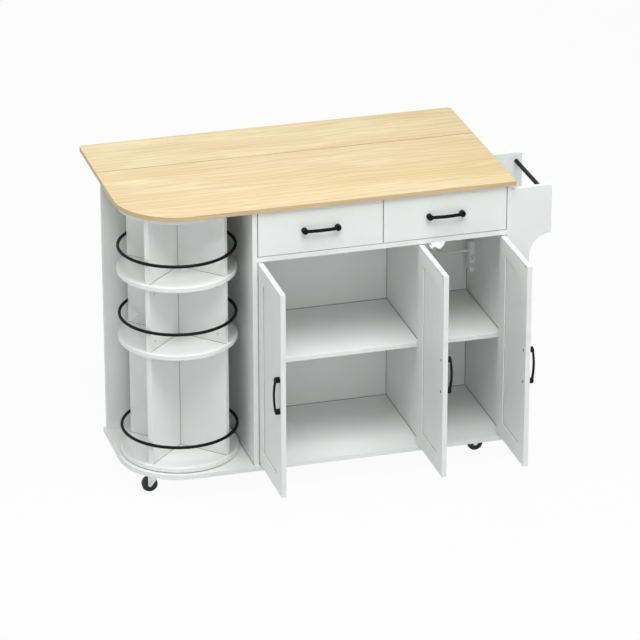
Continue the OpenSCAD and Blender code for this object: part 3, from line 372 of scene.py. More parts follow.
@dataclass(frozen=True)
class LacqueredTimber(Finish):
    """Pale timber with its grain along x, wide staves, darker sawn edges and a fine seam."""

    stave_w: float = 118.0
    stave_l: float = 3600.0
    stave_start: Triple = (1.0, 0.0, 0.0)
    stave_slide: Triple = (3.7, 0.9, 5.3)
    rings: Triple = (2.5, 6.0, 6.0)
    hearts: Triple = (3.2, 13.0, 13.0)
    flecks: Triple = (4.2, 46.0, 46.0)
    fibres: Triple = (5.0, 260.0, 260.0)
    shades: Triple = (2.0, 13.0, 2.0)
    layers: Triple = (8.0, 8.0, 420.0)
    edge: Triple = (0.62, 0.48, 0.275)
    streak: Triple = (0.64, 0.46, 0.21)
    pale: Triple = (0.81, 0.69, 0.43)
    seam_y: float = 0.0
    seam_half: float = 1.8
    upright: float = 0.6

    def staves(self, sketch: Sketch, where: Socket) -> Socket:
        """A value of its own for each stave.

        Args:
            sketch: the material's tree.
            where: object coordinates.

        Returns:
            The value's socket.
        """
        feeds = {
            "Vector": sketch.stretched(where, ONES, self.stave_start),
            "Color1": (*ZERO, 1.0),
            "Color2": (*ONES, 1.0),
            "Mortar": (0.5, 0.5, 0.5, 1.0),
            "Scale": 1.0,
            "Mortar Size": 0.0,
            "Bias": 0.0,
            "Brick Width": self.stave_l * MM,
            "Row Height": self.stave_w * MM,
        }
        return sketch.add("ShaderNodeTexBrick", feeds, offset=0.5, offset_frequency=2).outputs["Color"]

    def grain(self, sketch: Sketch, where: Socket) -> Socket:
        """Growth rings cut lengthwise: long arches with pale hearts and brown late wood.

        Args:
            sketch: the material's tree.
            where: object coordinates that slide from stave to stave.

        Returns:
            The colour's socket.
        """
        feeds = {
            "Vector": sketch.stretched(where, self.rings),
            "Scale": 2.2,
            "Distortion": 11.0,
            "Detail": 1.5,
            "Detail Scale": 0.55,
            "Detail Roughness": 0.45,
        }
        kind = {"wave_type": "BANDS", "bands_direction": "Y", "wave_profile": "SAW"}
        rings = sketch.add("ShaderNodeTexWave", feeds, **kind).outputs["Fac"]
        early = (0.0, tint(self.colour, 1.03)), (0.5, self.colour), (0.84, tint(self.colour, 0.9))
        late = (0.96, self.streak), (1.0, tint(self.colour, 0.97))
        figure = sketch.blend(0.8, self.colour, sketch.ramp(rings, *early, *late))
        hearts = sketch.noise(sketch.stretched(where, self.hearts), 1.0, 3.0, 0.6)
        figure = sketch.blend(sketch.ramp(hearts, (0.52, ZERO), (0.7, ONES)), figure, self.pale)
        flecks = sketch.noise(sketch.stretched(where, self.flecks), 1.0, 3.0, 0.6)
        return sketch.blend(sketch.ramp(flecks, (0.6, ZERO), (0.78, (0.8, 0.8, 0.8))), figure, self.streak)

    def sawn(self, sketch: Sketch, figure: Socket) -> Socket:
        """Lays the darker sawn face on upright edges.

        Args:
            sketch: the material's tree.
            figure: the colour of the broad faces.

        Returns:
            The colour's socket.
        """
        facing = sketch.part(sketch.add("ShaderNodeNewGeometry").outputs["True Normal"], "Z")
        upright = sketch.maths("LESS_THAN", sketch.maths("ABSOLUTE", facing), self.upright)
        layers = sketch.noise(sketch.place(self.layers), 1.0, 3.0)
        layers = sketch.ramp(layers, (0.3, (0.82, 0.8, 0.76)), (0.7, (1.08, 1.06, 1.04)))
        return sketch.blend(upright, figure, sketch.blend(1.0, self.edge, layers, "MULTIPLY"))

    def lay(self, sketch: Sketch, where: Socket) -> None:
        """Lays the timber's figure, its staves, its edges and the seam's shade.

        Args:
            sketch: the material's tree.
            where: object coordinates.
        """
        stave = self.staves(sketch, where)
        # each stave slides the grain along, so that no figure runs over a joint
        feeds = {0: stave, 1: self.stave_slide, 2: where}
        slid = sketch.add("ShaderNodeVectorMath", feeds, operation="MULTIPLY_ADD").outputs["Vector"]
        figure = self.grain(sketch, slid)
        fibres = sketch.noise(sketch.stretched(slid, self.fibres), 1.0, 4.0, 0.65)
        shades = sketch.noise(sketch.stretched(where, self.shades), 1.0)
        for value, low, shade, high in (
            (fibres, 0.3, (0.89, 0.85, 0.76), 0.55),
            (stave, 0.0, (0.955, 0.94, 0.90), 1.0),
            (shades, 0.35, (0.93, 0.905, 0.84), 0.65),
        ):
            figure = sketch.blend(1.0, figure, sketch.ramp(value, (low, shade), (high, ONES)), "MULTIPLY")
        figure = self.sawn(sketch, figure)
        # dust and shade gather where the leaf meets the worktop
        away = sketch.maths("ABSOLUTE", sketch.maths("SUBTRACT", sketch.part(where, "Y"), self.seam_y))
        near = sketch.maths("LESS_THAN", away, self.seam_half * MM)
        sketch.surface(Base_Color=sketch.blend(near, figure, tint(self.streak, 0.5)))
        sketch.surface(Coat_Weight=0.1, Coat_Roughness=0.35)
        sketch.rough_between(fibres, self.rough - 0.06, self.rough + 0.08)
        sketch.bump(fibres, 0.12, 0.35)


@dataclass(frozen=True)
class PowderCoat(Finish):
    """Satin powder coat on steel: fine even texture."""

    clouds: float = 90.0
    texture: float = 1500.0

    def lay(self, sketch: Sketch, where: Socket) -> None:
        """Lays the powder coat.

        Args:
            sketch: the material's tree.
            where: object coordinates.
        """
        grains = sketch.noise(where, self.texture)
        tone = sketch.ramp(grains, (0.3, tint(self.colour, 0.8)), (0.75, tint(self.colour, 1.5)))
        sketch.surface(Base_Color=tone, Specular_IOR_Level=0.08)
        sketch.rough_between(sketch.noise(where, self.clouds), self.rough - 0.05, self.rough + 0.06)
        sketch.bump(grains, 0.04, 0.6)


@dataclass(frozen=True)
class ZincSheet(Finish):
    """Bright zinc on rolled sheet: metal with drawn streaks and soft spangle."""

    clouds: float = 130.0
    streaks: Triple = (30.0, 900.0, 900.0)

    def lay(self, sketch: Sketch, where: Socket) -> None:
        """Lays the zinc.

        Args:
            sketch: the material's tree.
            where: object coordinates.
        """
        streaks = sketch.noise(sketch.place(self.streaks), 1.0, 3.0)
        spangle = sketch.noise(where, self.clouds)
        tone = sketch.ramp(spangle, (0.35, tint(self.colour, 0.86)), (0.65, self.colour))
        sketch.surface(Base_Color=tone, Metallic=1.0)
        sketch.rough_between(streaks, self.rough - 0.08, self.rough + 0.12)
        sketch.bump(streaks, 0.02, 0.5)


@dataclass(frozen=True)
class MouldedPlastic(Finish):
    """Moulded plastic with a fine spark texture."""

    clouds: float = 22.0
    texture: float = 1100.0
    depth: float = 0.03

    def lay(self, sketch: Sketch, where: Socket) -> None:
        """Lays the moulded skin.

        Args:
            sketch: the material's tree.
            where: object coordinates.
        """
        texture = sketch.noise(where, self.texture)
        clouds = sketch.noise(where, self.clouds)
        sketch.surface(Base_Color=sketch.blend(clouds, tint(self.colour, 0.965), self.colour))
        sketch.rough_between(texture, self.rough - 0.05, self.rough + 0.08)
        sketch.bump(texture, self.depth, 0.5)


@dataclass(frozen=True)
class RolledRubber(Finish):
    """Solid wheel tread: dull, with fine scuffs round its rim."""

    scuffs: Triple = (260.0, 260.0, 60.0)

    def lay(self, sketch: Sketch, where: Socket) -> None:
        """Lays the rubber.

        Args:
            sketch: the material's tree.
            where: object coordinates.
        """
        scuffs = sketch.noise(sketch.stretched(where, self.scuffs), 1.0, 4.0, 0.7)
        tone = sketch.ramp(scuffs, (0.4, self.colour), (0.72, tint(self.colour, 2.2)))
        sketch.surface(Base_Color=tone)
        sketch.rough_between(scuffs, self.rough - 0.1, self.rough + 0.1)
        sketch.bump(scuffs, 0.08, 0.4)


PAINT = PaintedBoard("white_board_paint", (0.856, 0.868, 0.858), "painted_board", 0.42)
# dark grey for painted shade: fine lines where shade falls in corners, between fins and round sunk panels
JOINT_SHADE = Finish("joint_shade", (0.22, 0.23, 0.225), "painted_board", 0.8)
SEAM_Y = PLACE.at(0.0, SIZES.leaf_axis_y, 0.0).y
TIMBER = LacqueredTimber("lacquered_pale_timber", (0.74, 0.60, 0.335), "pale_wood", 0.5, seam_y=SEAM_Y)
BLACK = PowderCoat("black_powder_coat", (0.007, 0.007, 0.0075), "black_steel", 0.4)
ZINC = ZincSheet("bright_zinc", (0.68, 0.69, 0.70), "zinc_steel", 0.34)
WHITE_PLASTIC = MouldedPlastic("white_moulded_plastic", (0.80, 0.815, 0.81), "white_plastic", 0.4)
LEAD_JACKET = MouldedPlastic(
    "lead_jacket", (0.80, 0.81, 0.80), "white_plastic", 0.45, texture=700.0, depth=0.02
)
BLACK_PLASTIC = MouldedPlastic("black_moulded_plastic", (0.015, 0.015, 0.016), "black_plastic", 0.5)
TREAD = RolledRubber("wheel_tread", (0.012, 0.012, 0.013), "black_plastic", 0.55)


# ------------------------------------------------------------------ pieces


def shown(finish: Finish, *nodes: str) -> None:
    """Gives the material slots of CAD nodes a finish.

    Args:
        finish: the finish.
        nodes: the nodes' names.
    """
    for node in nodes:
        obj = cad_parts[node]
        if not obj.material_slots:
            obj.data.materials.append(finish.material())
        for place in obj.material_slots:
            place.material = finish.material()
        log.info("%s in %s", node, finish.name)


def finished(obj: Obj, finish: Finish, body: Body) -> Obj:
    """Dresses a new piece and lets it ride on its body.

    Args:
        obj: the piece.
        finish: its finish.
        body: the body that carries it.

    Returns:
        The same piece.
    """
    if not obj.data.materials:
        obj.data.materials.append(finish.material())
    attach(obj, body.value)
    log.info("%s in %s on %s", obj.name, finish.name, body.value)
    return obj


def piece_of(name: str, data: bpy.types.ID) -> Obj:
    """Puts a mesh, a curve, a lamp or a camera in the scene.

    Args:
        name: the new object's name.
        data: what it shows.

    Returns:
        The new object.
    """
    obj = bpy.data.objects.new(name, data)
    bpy.context.scene.collection.objects.link(obj)
    return obj


def mesh_of(name: str, edit: bmesh.types.BMesh) -> bpy.types.Mesh:
    """Ends an edit in a new mesh.

    Args:
        name: the mesh's name.
        edit: the edit, which is freed.

    Returns:
        The mesh.
    """
    mesh = bpy.data.meshes.new(name)
    edit.to_mesh(mesh)
    edit.free()
    return mesh


def smoothed(mesh: bpy.types.Mesh, sharp: float) -> None:
    """Shades a mesh smoothly except over its sharp edges.

    Args:
        mesh: the mesh.
        sharp: angle in degrees past which an edge stays sharp.
    """
    for face in mesh.polygons:
        face.use_smooth = True
    mesh.set_sharp_from_angle(angle=math.radians(sharp))


def plain(name: str, source: Obj) -> Obj:
    """Turns an object with modifiers into a plain piece.

    Args:
        name: the new piece's name.
        source: the object, which is removed.

    Returns:
        The piece, whose mesh has the modifiers' result.
    """
    bpy.context.view_layer.update()
    graph = bpy.context.evaluated_depsgraph_get()
    mesh = bpy.data.meshes.new_from_object(source.evaluated_get(graph), depsgraph=graph)
    mesh.name = name
    bpy.data.objects.remove(source)
    return piece_of(name, mesh)


def block(edit: bmesh.types.BMesh, middle: Vector | Triple, reach: Vector | Triple) -> None:
    """Adds a block to an edit.

    Args:
        edit: the edit.
        middle: the block's middle.
        reach: half its size along x, y and z.
    """
    verts = bmesh.ops.create_cube(edit, size=2.0)["verts"]
    bmesh.ops.scale(edit, vec=reach, verts=verts)
    bmesh.ops.translate(edit, vec=middle, verts=verts)


def painted_shade_lines(
    name: str, spans: list[Line], half: float, body: Body, placed: Matrix = Matrix.Identity(4)
) -> None:
    """Makes fine dark square lines of painted shade, such as in the corners where boards meet.

    Args:
        name: the piece's name.
        spans: both ends of each line.
        half: half the lines' thickness in millimetres.
        body: what carries them.
        placed: turns and moves the lines, where they aren't drawn in place.
    """
    edit = bmesh.new()
    for start, end in spans:
        block(edit, (start + end) / 2, [abs(v) + half * MM for v in (end - start) / 2])
    mesh = mesh_of(name, edit)
    mesh.transform(placed)
    # dark strips that stand for the shade in corners and round sunk panels
    finished(piece_of(name, mesh), JOINT_SHADE, body)


@dataclass(frozen=True)
class Easing:
    """Eases a board's sharp edges, as sanding and paint do."""

    width: float = 0.9
    steps: int = 2
    sharp: float = 50.0
    shaded_sharp: float = 30.0
    merged: float = 0.001
    flat: float = 0.5

    def eased(self, node: str) -> Obj:
        """Copies a node with its sharp edges eased.

        Args:
            node: the CAD node's name.

        Returns:
            The piece that stands for the node.
        """
        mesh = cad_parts[node].data.copy()
        mesh.materials.clear()
        edit = bmesh.new()
        edit.from_mesh(mesh)
        bmesh.ops.remove_doubles(edit, verts=edit.verts, dist=self.merged * MM)
        bmesh.ops.dissolve_limit(
            edit, angle_limit=math.radians(self.flat), verts=edit.verts, edges=edit.edges
        )
        edit.to_mesh(mesh)
        edit.free()
        source = piece_of(node + "_raw", mesh)
        bevel = source.modifiers.new("easing", "BEVEL")
        bevel.width = self.width * MM
        bevel.segments = self.steps
        bevel.limit_method = "ANGLE"
        bevel.angle_limit = math.radians(self.sharp)
        bevel.use_clamp_overlap = True
        smoothed(mesh, self.shaded_sharp)
        level = source.modifiers.new("level", "WEIGHTED_NORMAL")
        level.keep_sharp = True
        level.weight = 100
        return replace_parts(plain(node + "_eased", source), node)

    def dress(self, finish: Finish, body: Body, *nodes: str) -> None:
        """Eases nodes and finishes them.

        Args:
            finish: their finish.
            body: what carries them.
            nodes: the CAD nodes' names.
        """
        for node in nodes:
            finished(self.eased(node), finish, body)


# ------------------------------------------------------------------ geometry node trees


class Grower(Tree):
    """A geometry node tree that is built in the script, with named inputs."""

    def __init__(self, name: str) -> None:
        """Starts a tree with the inputs for points and for the fasteners' head.

        Args:
            name: the tree's name.
        """
        super().__init__(bpy.data.node_groups.new(name, "GeometryNodeTree"))
        self.tree.interface.new_socket("Geometry", in_out="OUTPUT", socket_type="NodeSocketGeometry")
        self.start = self.add("NodeGroupInput")
        self.points = self.input("Geometry", "NodeSocketGeometry")
        head = self.input("Head", "NodeSocketObject")
        info = self.add("GeometryNodeObjectInfo", {"Object": head}, transform_space="ORIGINAL")
        self.head = info.outputs["Geometry"]

    def input(self, name: str, kind: str) -> Socket:
        """Adds a named input and gives the socket that brings it into the tree."""
        self.tree.interface.new_socket(name, in_out="INPUT", socket_type=kind)
        return self.start.outputs[name]

    def finish(self, **feeds: Socket) -> bpy.types.NodeTree:
        """Sets the head on points and ends in Realize Instances and Set Material.

        Args:
            feeds: sockets for the points, and the heads' turn and scale.

        Returns:
            The finished tree.
        """
        spread = self.add("GeometryNodeInstanceOnPoints", {"Instance": self.head, **feeds})
        real = self.add("GeometryNodeRealizeInstances", {0: spread.outputs["Instances"]})
        finish = self.input("Finish", "NodeSocketMaterial")
        coat = self.add("GeometryNodeSetMaterial", {"Geometry": real.outputs[0], "Material": finish})
        self.add("NodeGroupOutput", {"Geometry": coat.outputs["Geometry"]})
        return self.tree


def heads_tree() -> bpy.types.NodeTree:
    """Builds the tree that sets a head on each point, turned to its facing.

    Returns:
        The tree, with the inputs Head, Size and Finish.
    """
    grower = Grower("heads_on_points")
    facing = grower.add("GeometryNodeInputNamedAttribute", {"Name": "facing"}, data_type="FLOAT_VECTOR")
    align = grower.add("FunctionNodeAlignRotationToVector", {"Vector": facing.outputs["Attribute"]}, axis="Z")
    order = grower.add("GeometryNodeInputIndex").outputs["Index"]
    spin = grower.add("FunctionNodeRandomValue", {3: math.tau, "ID": order, "Seed": 7}, data_type="FLOAT")
    turn = grower.add("FunctionNodeAxisAngleToRotation", {"Axis": UP, "Angle": spin.outputs[1]})
    feeds = {"Rotation": align.outputs["Rotation"], "Rotate By": turn.outputs["Rotation"]}
    both = grower.add("FunctionNodeRotateRotation", feeds, rotation_space="LOCAL")
    size = grower.input("Size", "NodeSocketFloat")
    scale = grower.add("ShaderNodeCombineXYZ", {0: size, 1: size, 2: size})
    return grower.finish(
        Points=grower.points, Rotation=both.outputs["Rotation"], Scale=scale.outputs["Vector"]
    )


def edge_pins_tree() -> bpy.types.NodeTree:
    """Builds the tree that sets heads at even steps along a line.

    Returns:
        The tree, with the inputs Head, Step and Finish.
    """
    grower = Grower("heads_along_line")
    line = grower.add("GeometryNodeMeshToCurve", {"Mesh": grower.points}).outputs["Curve"]
    feeds = {"Curve": line, "Length": grower.input("Step", "NodeSocketFloat")}
    even = grower.add("GeometryNodeResampleCurve", feeds, mode="LENGTH").outputs["Curve"]
    points = grower.add("GeometryNodeCurveToPoints", {"Curve": even}, mode="EVALUATED")
    return grower.finish(Points=points.outputs["Points"])


# ------------------------------------------------------------------ small hardware


class HeadKind(str, Enum):
    """Kinds of fastener head on the island."""

    PAN = "pan_head"
    NAIL = "nail_head"
    CAM = "cam_face"
    CAP = "cover_cap"


@dataclass
class Fasteners:
    """Heads of screws, nails and cams, shaped once and spread by geometry nodes.

    Each head stands on z = 0 and rises to +z.
    """

    pan_r: float = 3.6
    pan_h: float = 1.8
    nail_r: float = 1.7
    nail_hs: Triple = (0.45, 0.7, 0.78)
    cam_r: float = 4.2
    cam_h: float = 0.5
    cap_r: float = 6.2
    cap_hs: Triple = (0.5, 0.9, 1.1)
    sides: int = 20
    sharp: float = 35.0
    heads: dict[HeadKind, Obj] = field(default_factory=dict)
    points_tree: bpy.types.NodeTree | None = None
    line_tree: bpy.types.NodeTree | None = None

    def turned_profile(self, name: str, profile: list[Pair]) -> Obj:
        """Turns a profile about z.

        Args:
            name: the object's name.
            profile: radius and height from the rim to the middle.

        Returns:
            The closed turned shape.
        """
        edit = bmesh.new()
        angles = [math.tau * k / self.sides for k in range(self.sides)]
        *rims, (_, top) = profile
        rings = [
            [edit.verts.new((r * MM * math.cos(a), r * MM * math.sin(a), h * MM)) for a in angles]
            for r, h in rims
        ]
        middle = edit.verts.new((0.0, 0.0, top * MM))
        around = [(k, (k + 1) % self.sides) for k in range(self.sides)]
        for low, high in zip(rings, rings[1:]):
            for k, after in around:
                edit.faces.new((low[k], low[after], high[after], high[k]))
        for k, after in around:
            edit.faces.new((rings[-1][k], rings[-1][after], middle))
        edit.faces.new(rings[0][::-1])
        bmesh.ops.recalc_face_normals(edit, faces=edit.faces)
        mesh = mesh_of(name, edit)
        smoothed(mesh, self.sharp)
        return piece_of(name, mesh)

    def crossed(self, head: Obj, arm: float, width: float, deep: float, top: float) -> Obj:
        """Cuts a cross recess in a head.

        Args:
            head: the head.
            arm: half length of the cross.
            width: width of its arms.
            deep: depth of the recess.
            top: height of the head's top.

        Returns:
            The cut head.
        """
        cutters = []
        for x, y in ((arm, width / 2), (width / 2, arm)):
            edit = bmesh.new()
            block(edit, (0.0, 0.0, top * MM), (x * MM, y * MM, deep * MM))
            cutters.append(piece_of("cutter", mesh_of("cutter", edit)))
            cut = head.modifiers.new("cut", "BOOLEAN")
            cut.operation = "DIFFERENCE"
            cut.solver = "EXACT"
            cut.object = cutters[-1]
        done = plain(head.name + "_cut", head)
        for cutter in cutters:
            bpy.data.objects.remove(cutter)
        return done

    def shape(self) -> None:
        """Shapes the heads and builds the trees."""
        pan, nail, cam, cap = self.pan_r, self.nail_r, self.cam_r, self.cap_r
        pan_h, cam_h = self.pan_h, self.cam_h
        crown = [(0.86 * pan, 0.82 * pan_h), (0.6 * pan, pan_h), (0.0, pan_h)]
        profiles = {
            HeadKind.PAN: [(pan, 0.0), (pan, 0.45 * pan_h), *crown],
            HeadKind.NAIL: [(nail, 0.0), *zip((0.85 * nail, 0.4 * nail, 0.0), self.nail_hs)],
            HeadKind.CAM: [(cam, 0.0), (cam, 0.6 * cam_h), (0.9 * cam, cam_h), (0.0, cam_h)],
            HeadKind.CAP: [(cap, 0.0), *zip((cap, 0.9 * cap, 0.0), self.cap_hs)],
        }
        self.heads = {kind: self.turned_profile(kind.value, profile) for kind, profile in profiles.items()}
        for kind, *sizes in (
            (HeadKind.PAN, 0.5 * pan, 0.22 * pan, 0.5 * pan_h, pan_h),
            (HeadKind.CAM, 0.55 * cam, 0.24 * cam, 0.8 * cam_h, cam_h),
        ):
            self.heads[kind] = self.crossed(self.heads[kind], *sizes)
        self.points_tree = heads_tree()
        self.line_tree = edge_pins_tree()

    def spread(
        self,
        name: str,
        spots: list[Spot],
        body: Body = Body.CABINET,
        size: float = 1.0,
        kind: HeadKind = HeadKind.PAN,
        finish: Finish = ZINC,
    ) -> None:
        """Sets heads on points.

        Args:
            name: the piece's name.
            spots: the places and the way each head faces.
            body: what carries them.
            size: factor on the head's size.
            kind: which head.
            finish: the heads' finish.
        """
        mesh = bpy.data.meshes.new(name + "_points")
        mesh.from_pydata([spot for spot, _ in spots], [], [])
        facing = mesh.attributes.new("facing", "FLOAT_VECTOR", "POINT")
        for index, (_, way) in enumerate(spots):
            facing.data[index].vector = way
        values = {"Head": self.heads[kind], "Size": size, "Finish": finish.material()}
        finished(self.grown(name, mesh, self.points_tree, values), finish, body)

    def nailed(self, name: str, lines: list[Line], step: float, finish: Finish = ZINC) -> None:
        """Sets nails that face +y in the cabinet at even steps along straight lines.

        Args:
            name: the piece's name.
            lines: both ends of each line.
            step: distance between nails in millimetres.
            finish: the nails' finish.
        """
        head = piece_of("nail_to_back", self.heads[HeadKind.NAIL].data.copy())
        head.data.transform(Matrix.Rotation(math.radians(-90), 4, "X"))
        mesh = bpy.data.meshes.new(name + "_lines")
        edges = [(2 * k, 2 * k + 1) for k in range(len(lines))]
        mesh.from_pydata([end for line in lines for end in line], edges, [])
        values = {"Head": head, "Step": step * MM, "Finish": finish.material()}
        finished(self.grown(name, mesh, self.line_tree, values), finish, Body.CABINET)
        bpy.data.objects.remove(head)

    def grown(
        self, name: str, mesh: bpy.types.Mesh, tree: bpy.types.NodeTree, values: dict[str, object]
    ) -> Obj:
        """Runs a tree on a mesh and keeps the plain result.

        Args:
            name: the piece's name.
            mesh: points or lines.
            tree: the node tree.
            values: what its named inputs get.

        Returns:
            The piece.
        """
        source = piece_of(name + "_source", mesh)
        nodes = source.modifiers.new("heads", "NODES")
        nodes.node_group = tree
        for item in tree.interface.items_tree:
            if item.in_out == "INPUT" and item.name in values:
                nodes[item.identifier] = values[item.name]
        return plain(name, source)

    def put_away(self) -> None:
        """Removes the single heads once every piece is made."""
        for head in self.heads.values():
            bpy.data.objects.remove(head)
        self.heads.clear()


# ------------------------------------------------------------------ studio


@dataclass(frozen=True)
class Lamp:
    """A soft lamp that hangs in the studio and faces the island."""

    name: str
    spot: Triple
    width: float
    power: float
    height: float = 2.6
    aim: Triple = (0.1, 0.0, 0.35)

    def hang(self) -> None:
        """Hangs the lamp."""
        data = bpy.data.lights.new(self.name, "AREA")
        data.shape = "RECTANGLE"
        data.size = self.width
        data.size_y = self.height
        data.energy = self.power
        way = (Vector(self.aim) - Vector(self.spot)).to_track_quat("-Z", "Y").to_matrix().to_4x4()
        piece_of(self.name, data).matrix_world = Matrix.Translation(self.spot) @ way


@dataclass
class Studio:
    """Pale floor, soft light and the camera that looks as the photograph does."""

    eye: Triple = (-2.93445, -10.16372, 5.1477)
    gaze: Triple = (0.25228, 0.87812, -0.40653)
    roll: float = -0.05
    lens: float = 214.8
    sensor: float = 36.0
    sight: float = 60.0
    floor_half: float = 9.0
    floor_colour: Triple = (0.68, 0.69, 0.69)
    floor_white: float = 0.95
    sky_colour: Triple = (0.98, 1.0, 0.99)
    ambient: float = 0.3
    lamps: tuple[Lamp, ...] = (
        Lamp("key", (-0.1, -1.9, 4.6), 3.8, 176.0),
        Lamp("front", (-0.9, -5.2, 2.0), 2.6, 33.0),
        Lamp("left", (-3.8, 0.2, 2.6), 2.6, 29.0),
        Lamp("right", (2.4, -3.0, 3.2), 2.6, 11.0),
        Lamp("rear", (0.6, 4.6, 2.4), 2.6, 24.0),
    )

    def build(self) -> None:
        """Makes the camera, the floor, the world and the lamps."""
        self.camera()
        self.floor()
        self.world()
        for lamp in self.lamps:
            lamp.hang()
        bpy.context.scene.view_settings.view_transform = "Standard"
        log.info("studio with %d lamps", len(self.lamps))

    def camera(self) -> None:
        """Sets the camera from its eye point, its gaze and its small roll."""
        gaze = Vector(self.gaze).normalized()
        right = gaze.cross(Vector(UP)).normalized()
        above = right.cross(gaze)
        turn = math.radians(self.roll)
        across = right * math.cos(turn) + above * math.sin(turn)
        upward = -right * math.sin(turn) + above * math.cos(turn)
        data = bpy.data.cameras.new("view")
        data.sensor_width = self.sensor
        data.lens = self.lens
        data.clip_end = self.sight
        obj = piece_of("view", data)
        turned = Matrix((across, upward, -gaze)).transposed().to_4x4()
        obj.matrix_world = Matrix.Translation(self.eye) @ turned
        bpy.context.scene.camera = obj

    def seen_directly(self, tree: Tree) -> Socket:
        """Adds a value that is 1 for camera, mirror and see-through rays.

        Args:
            tree: the tree that gets the nodes.

        Returns:
            The value's socket.
        """
        path = tree.add("ShaderNodeLightPath").outputs
        last = path["Is Camera Ray"]
        for name in ("Is Glossy Ray", "Is Transmission Ray"):
            last = tree.add("ShaderNodeMath", {0: last, 1: path[name]}, operation="MAXIMUM").outputs[0]
        return last

    def floor(self) -> None:
        """Lays a pale floor that keeps a soft shadow."""
        mesh = bpy.data.meshes.new("floor")
        half = self.floor_half
        ring = [(-half, -half, 0), (half, -half, 0), (half, half, 0), (-half, half, 0)]
        mesh.from_pydata(ring, [], [(0, 1, 2, 3)])
        obj = piece_of("floor", mesh)
        material = bpy.data.materials.new("pale_floor")
        material.use_nodes = True
        tree = Tree(material.node_tree)
        matt = tree.add("ShaderNodeBsdfDiffuse", {"Color": (*self.floor_colour, 1.0)}).outputs[0]
        glow = tree.add("ShaderNodeEmission", {"Color": (*ONES, 1.0), "Strength": 1.0}).outputs[0]
        feeds = {0: self.seen_directly(tree), 1: self.floor_white}
        share = tree.add("ShaderNodeMath", feeds, operation="MULTIPLY").outputs[0]
        mix = tree.add("ShaderNodeMixShader", {0: share, 1: matt, 2: glow}).outputs[0]
        tree.add("ShaderNodeOutputMaterial", {"Surface": mix})
        mesh.materials.append(material)

    def world(self) -> None:
        """Lights the scene evenly and shows white behind it."""
        world = bpy.data.worlds.new("studio")
        bpy.context.scene.world = world
        world.use_nodes = True
        tree = Tree(world.node_tree)
        feeds = {"Color": (*self.sky_colour, 1.0), "Strength": self.ambient}
        soft = tree.add("ShaderNodeBackground", feeds).outputs[0]
        white = tree.add("ShaderNodeBackground", {"Color": (*ONES, 1.0), "Strength": 1.0}).outputs[0]
        mix = tree.add("ShaderNodeMixShader", {0: self.seen_directly(tree), 1: soft, 2: white}).outputs[0]
        tree.add("ShaderNodeOutputWorld", {"Surface": mix})


# ------------------------------------------------------------------ sub-assemblies


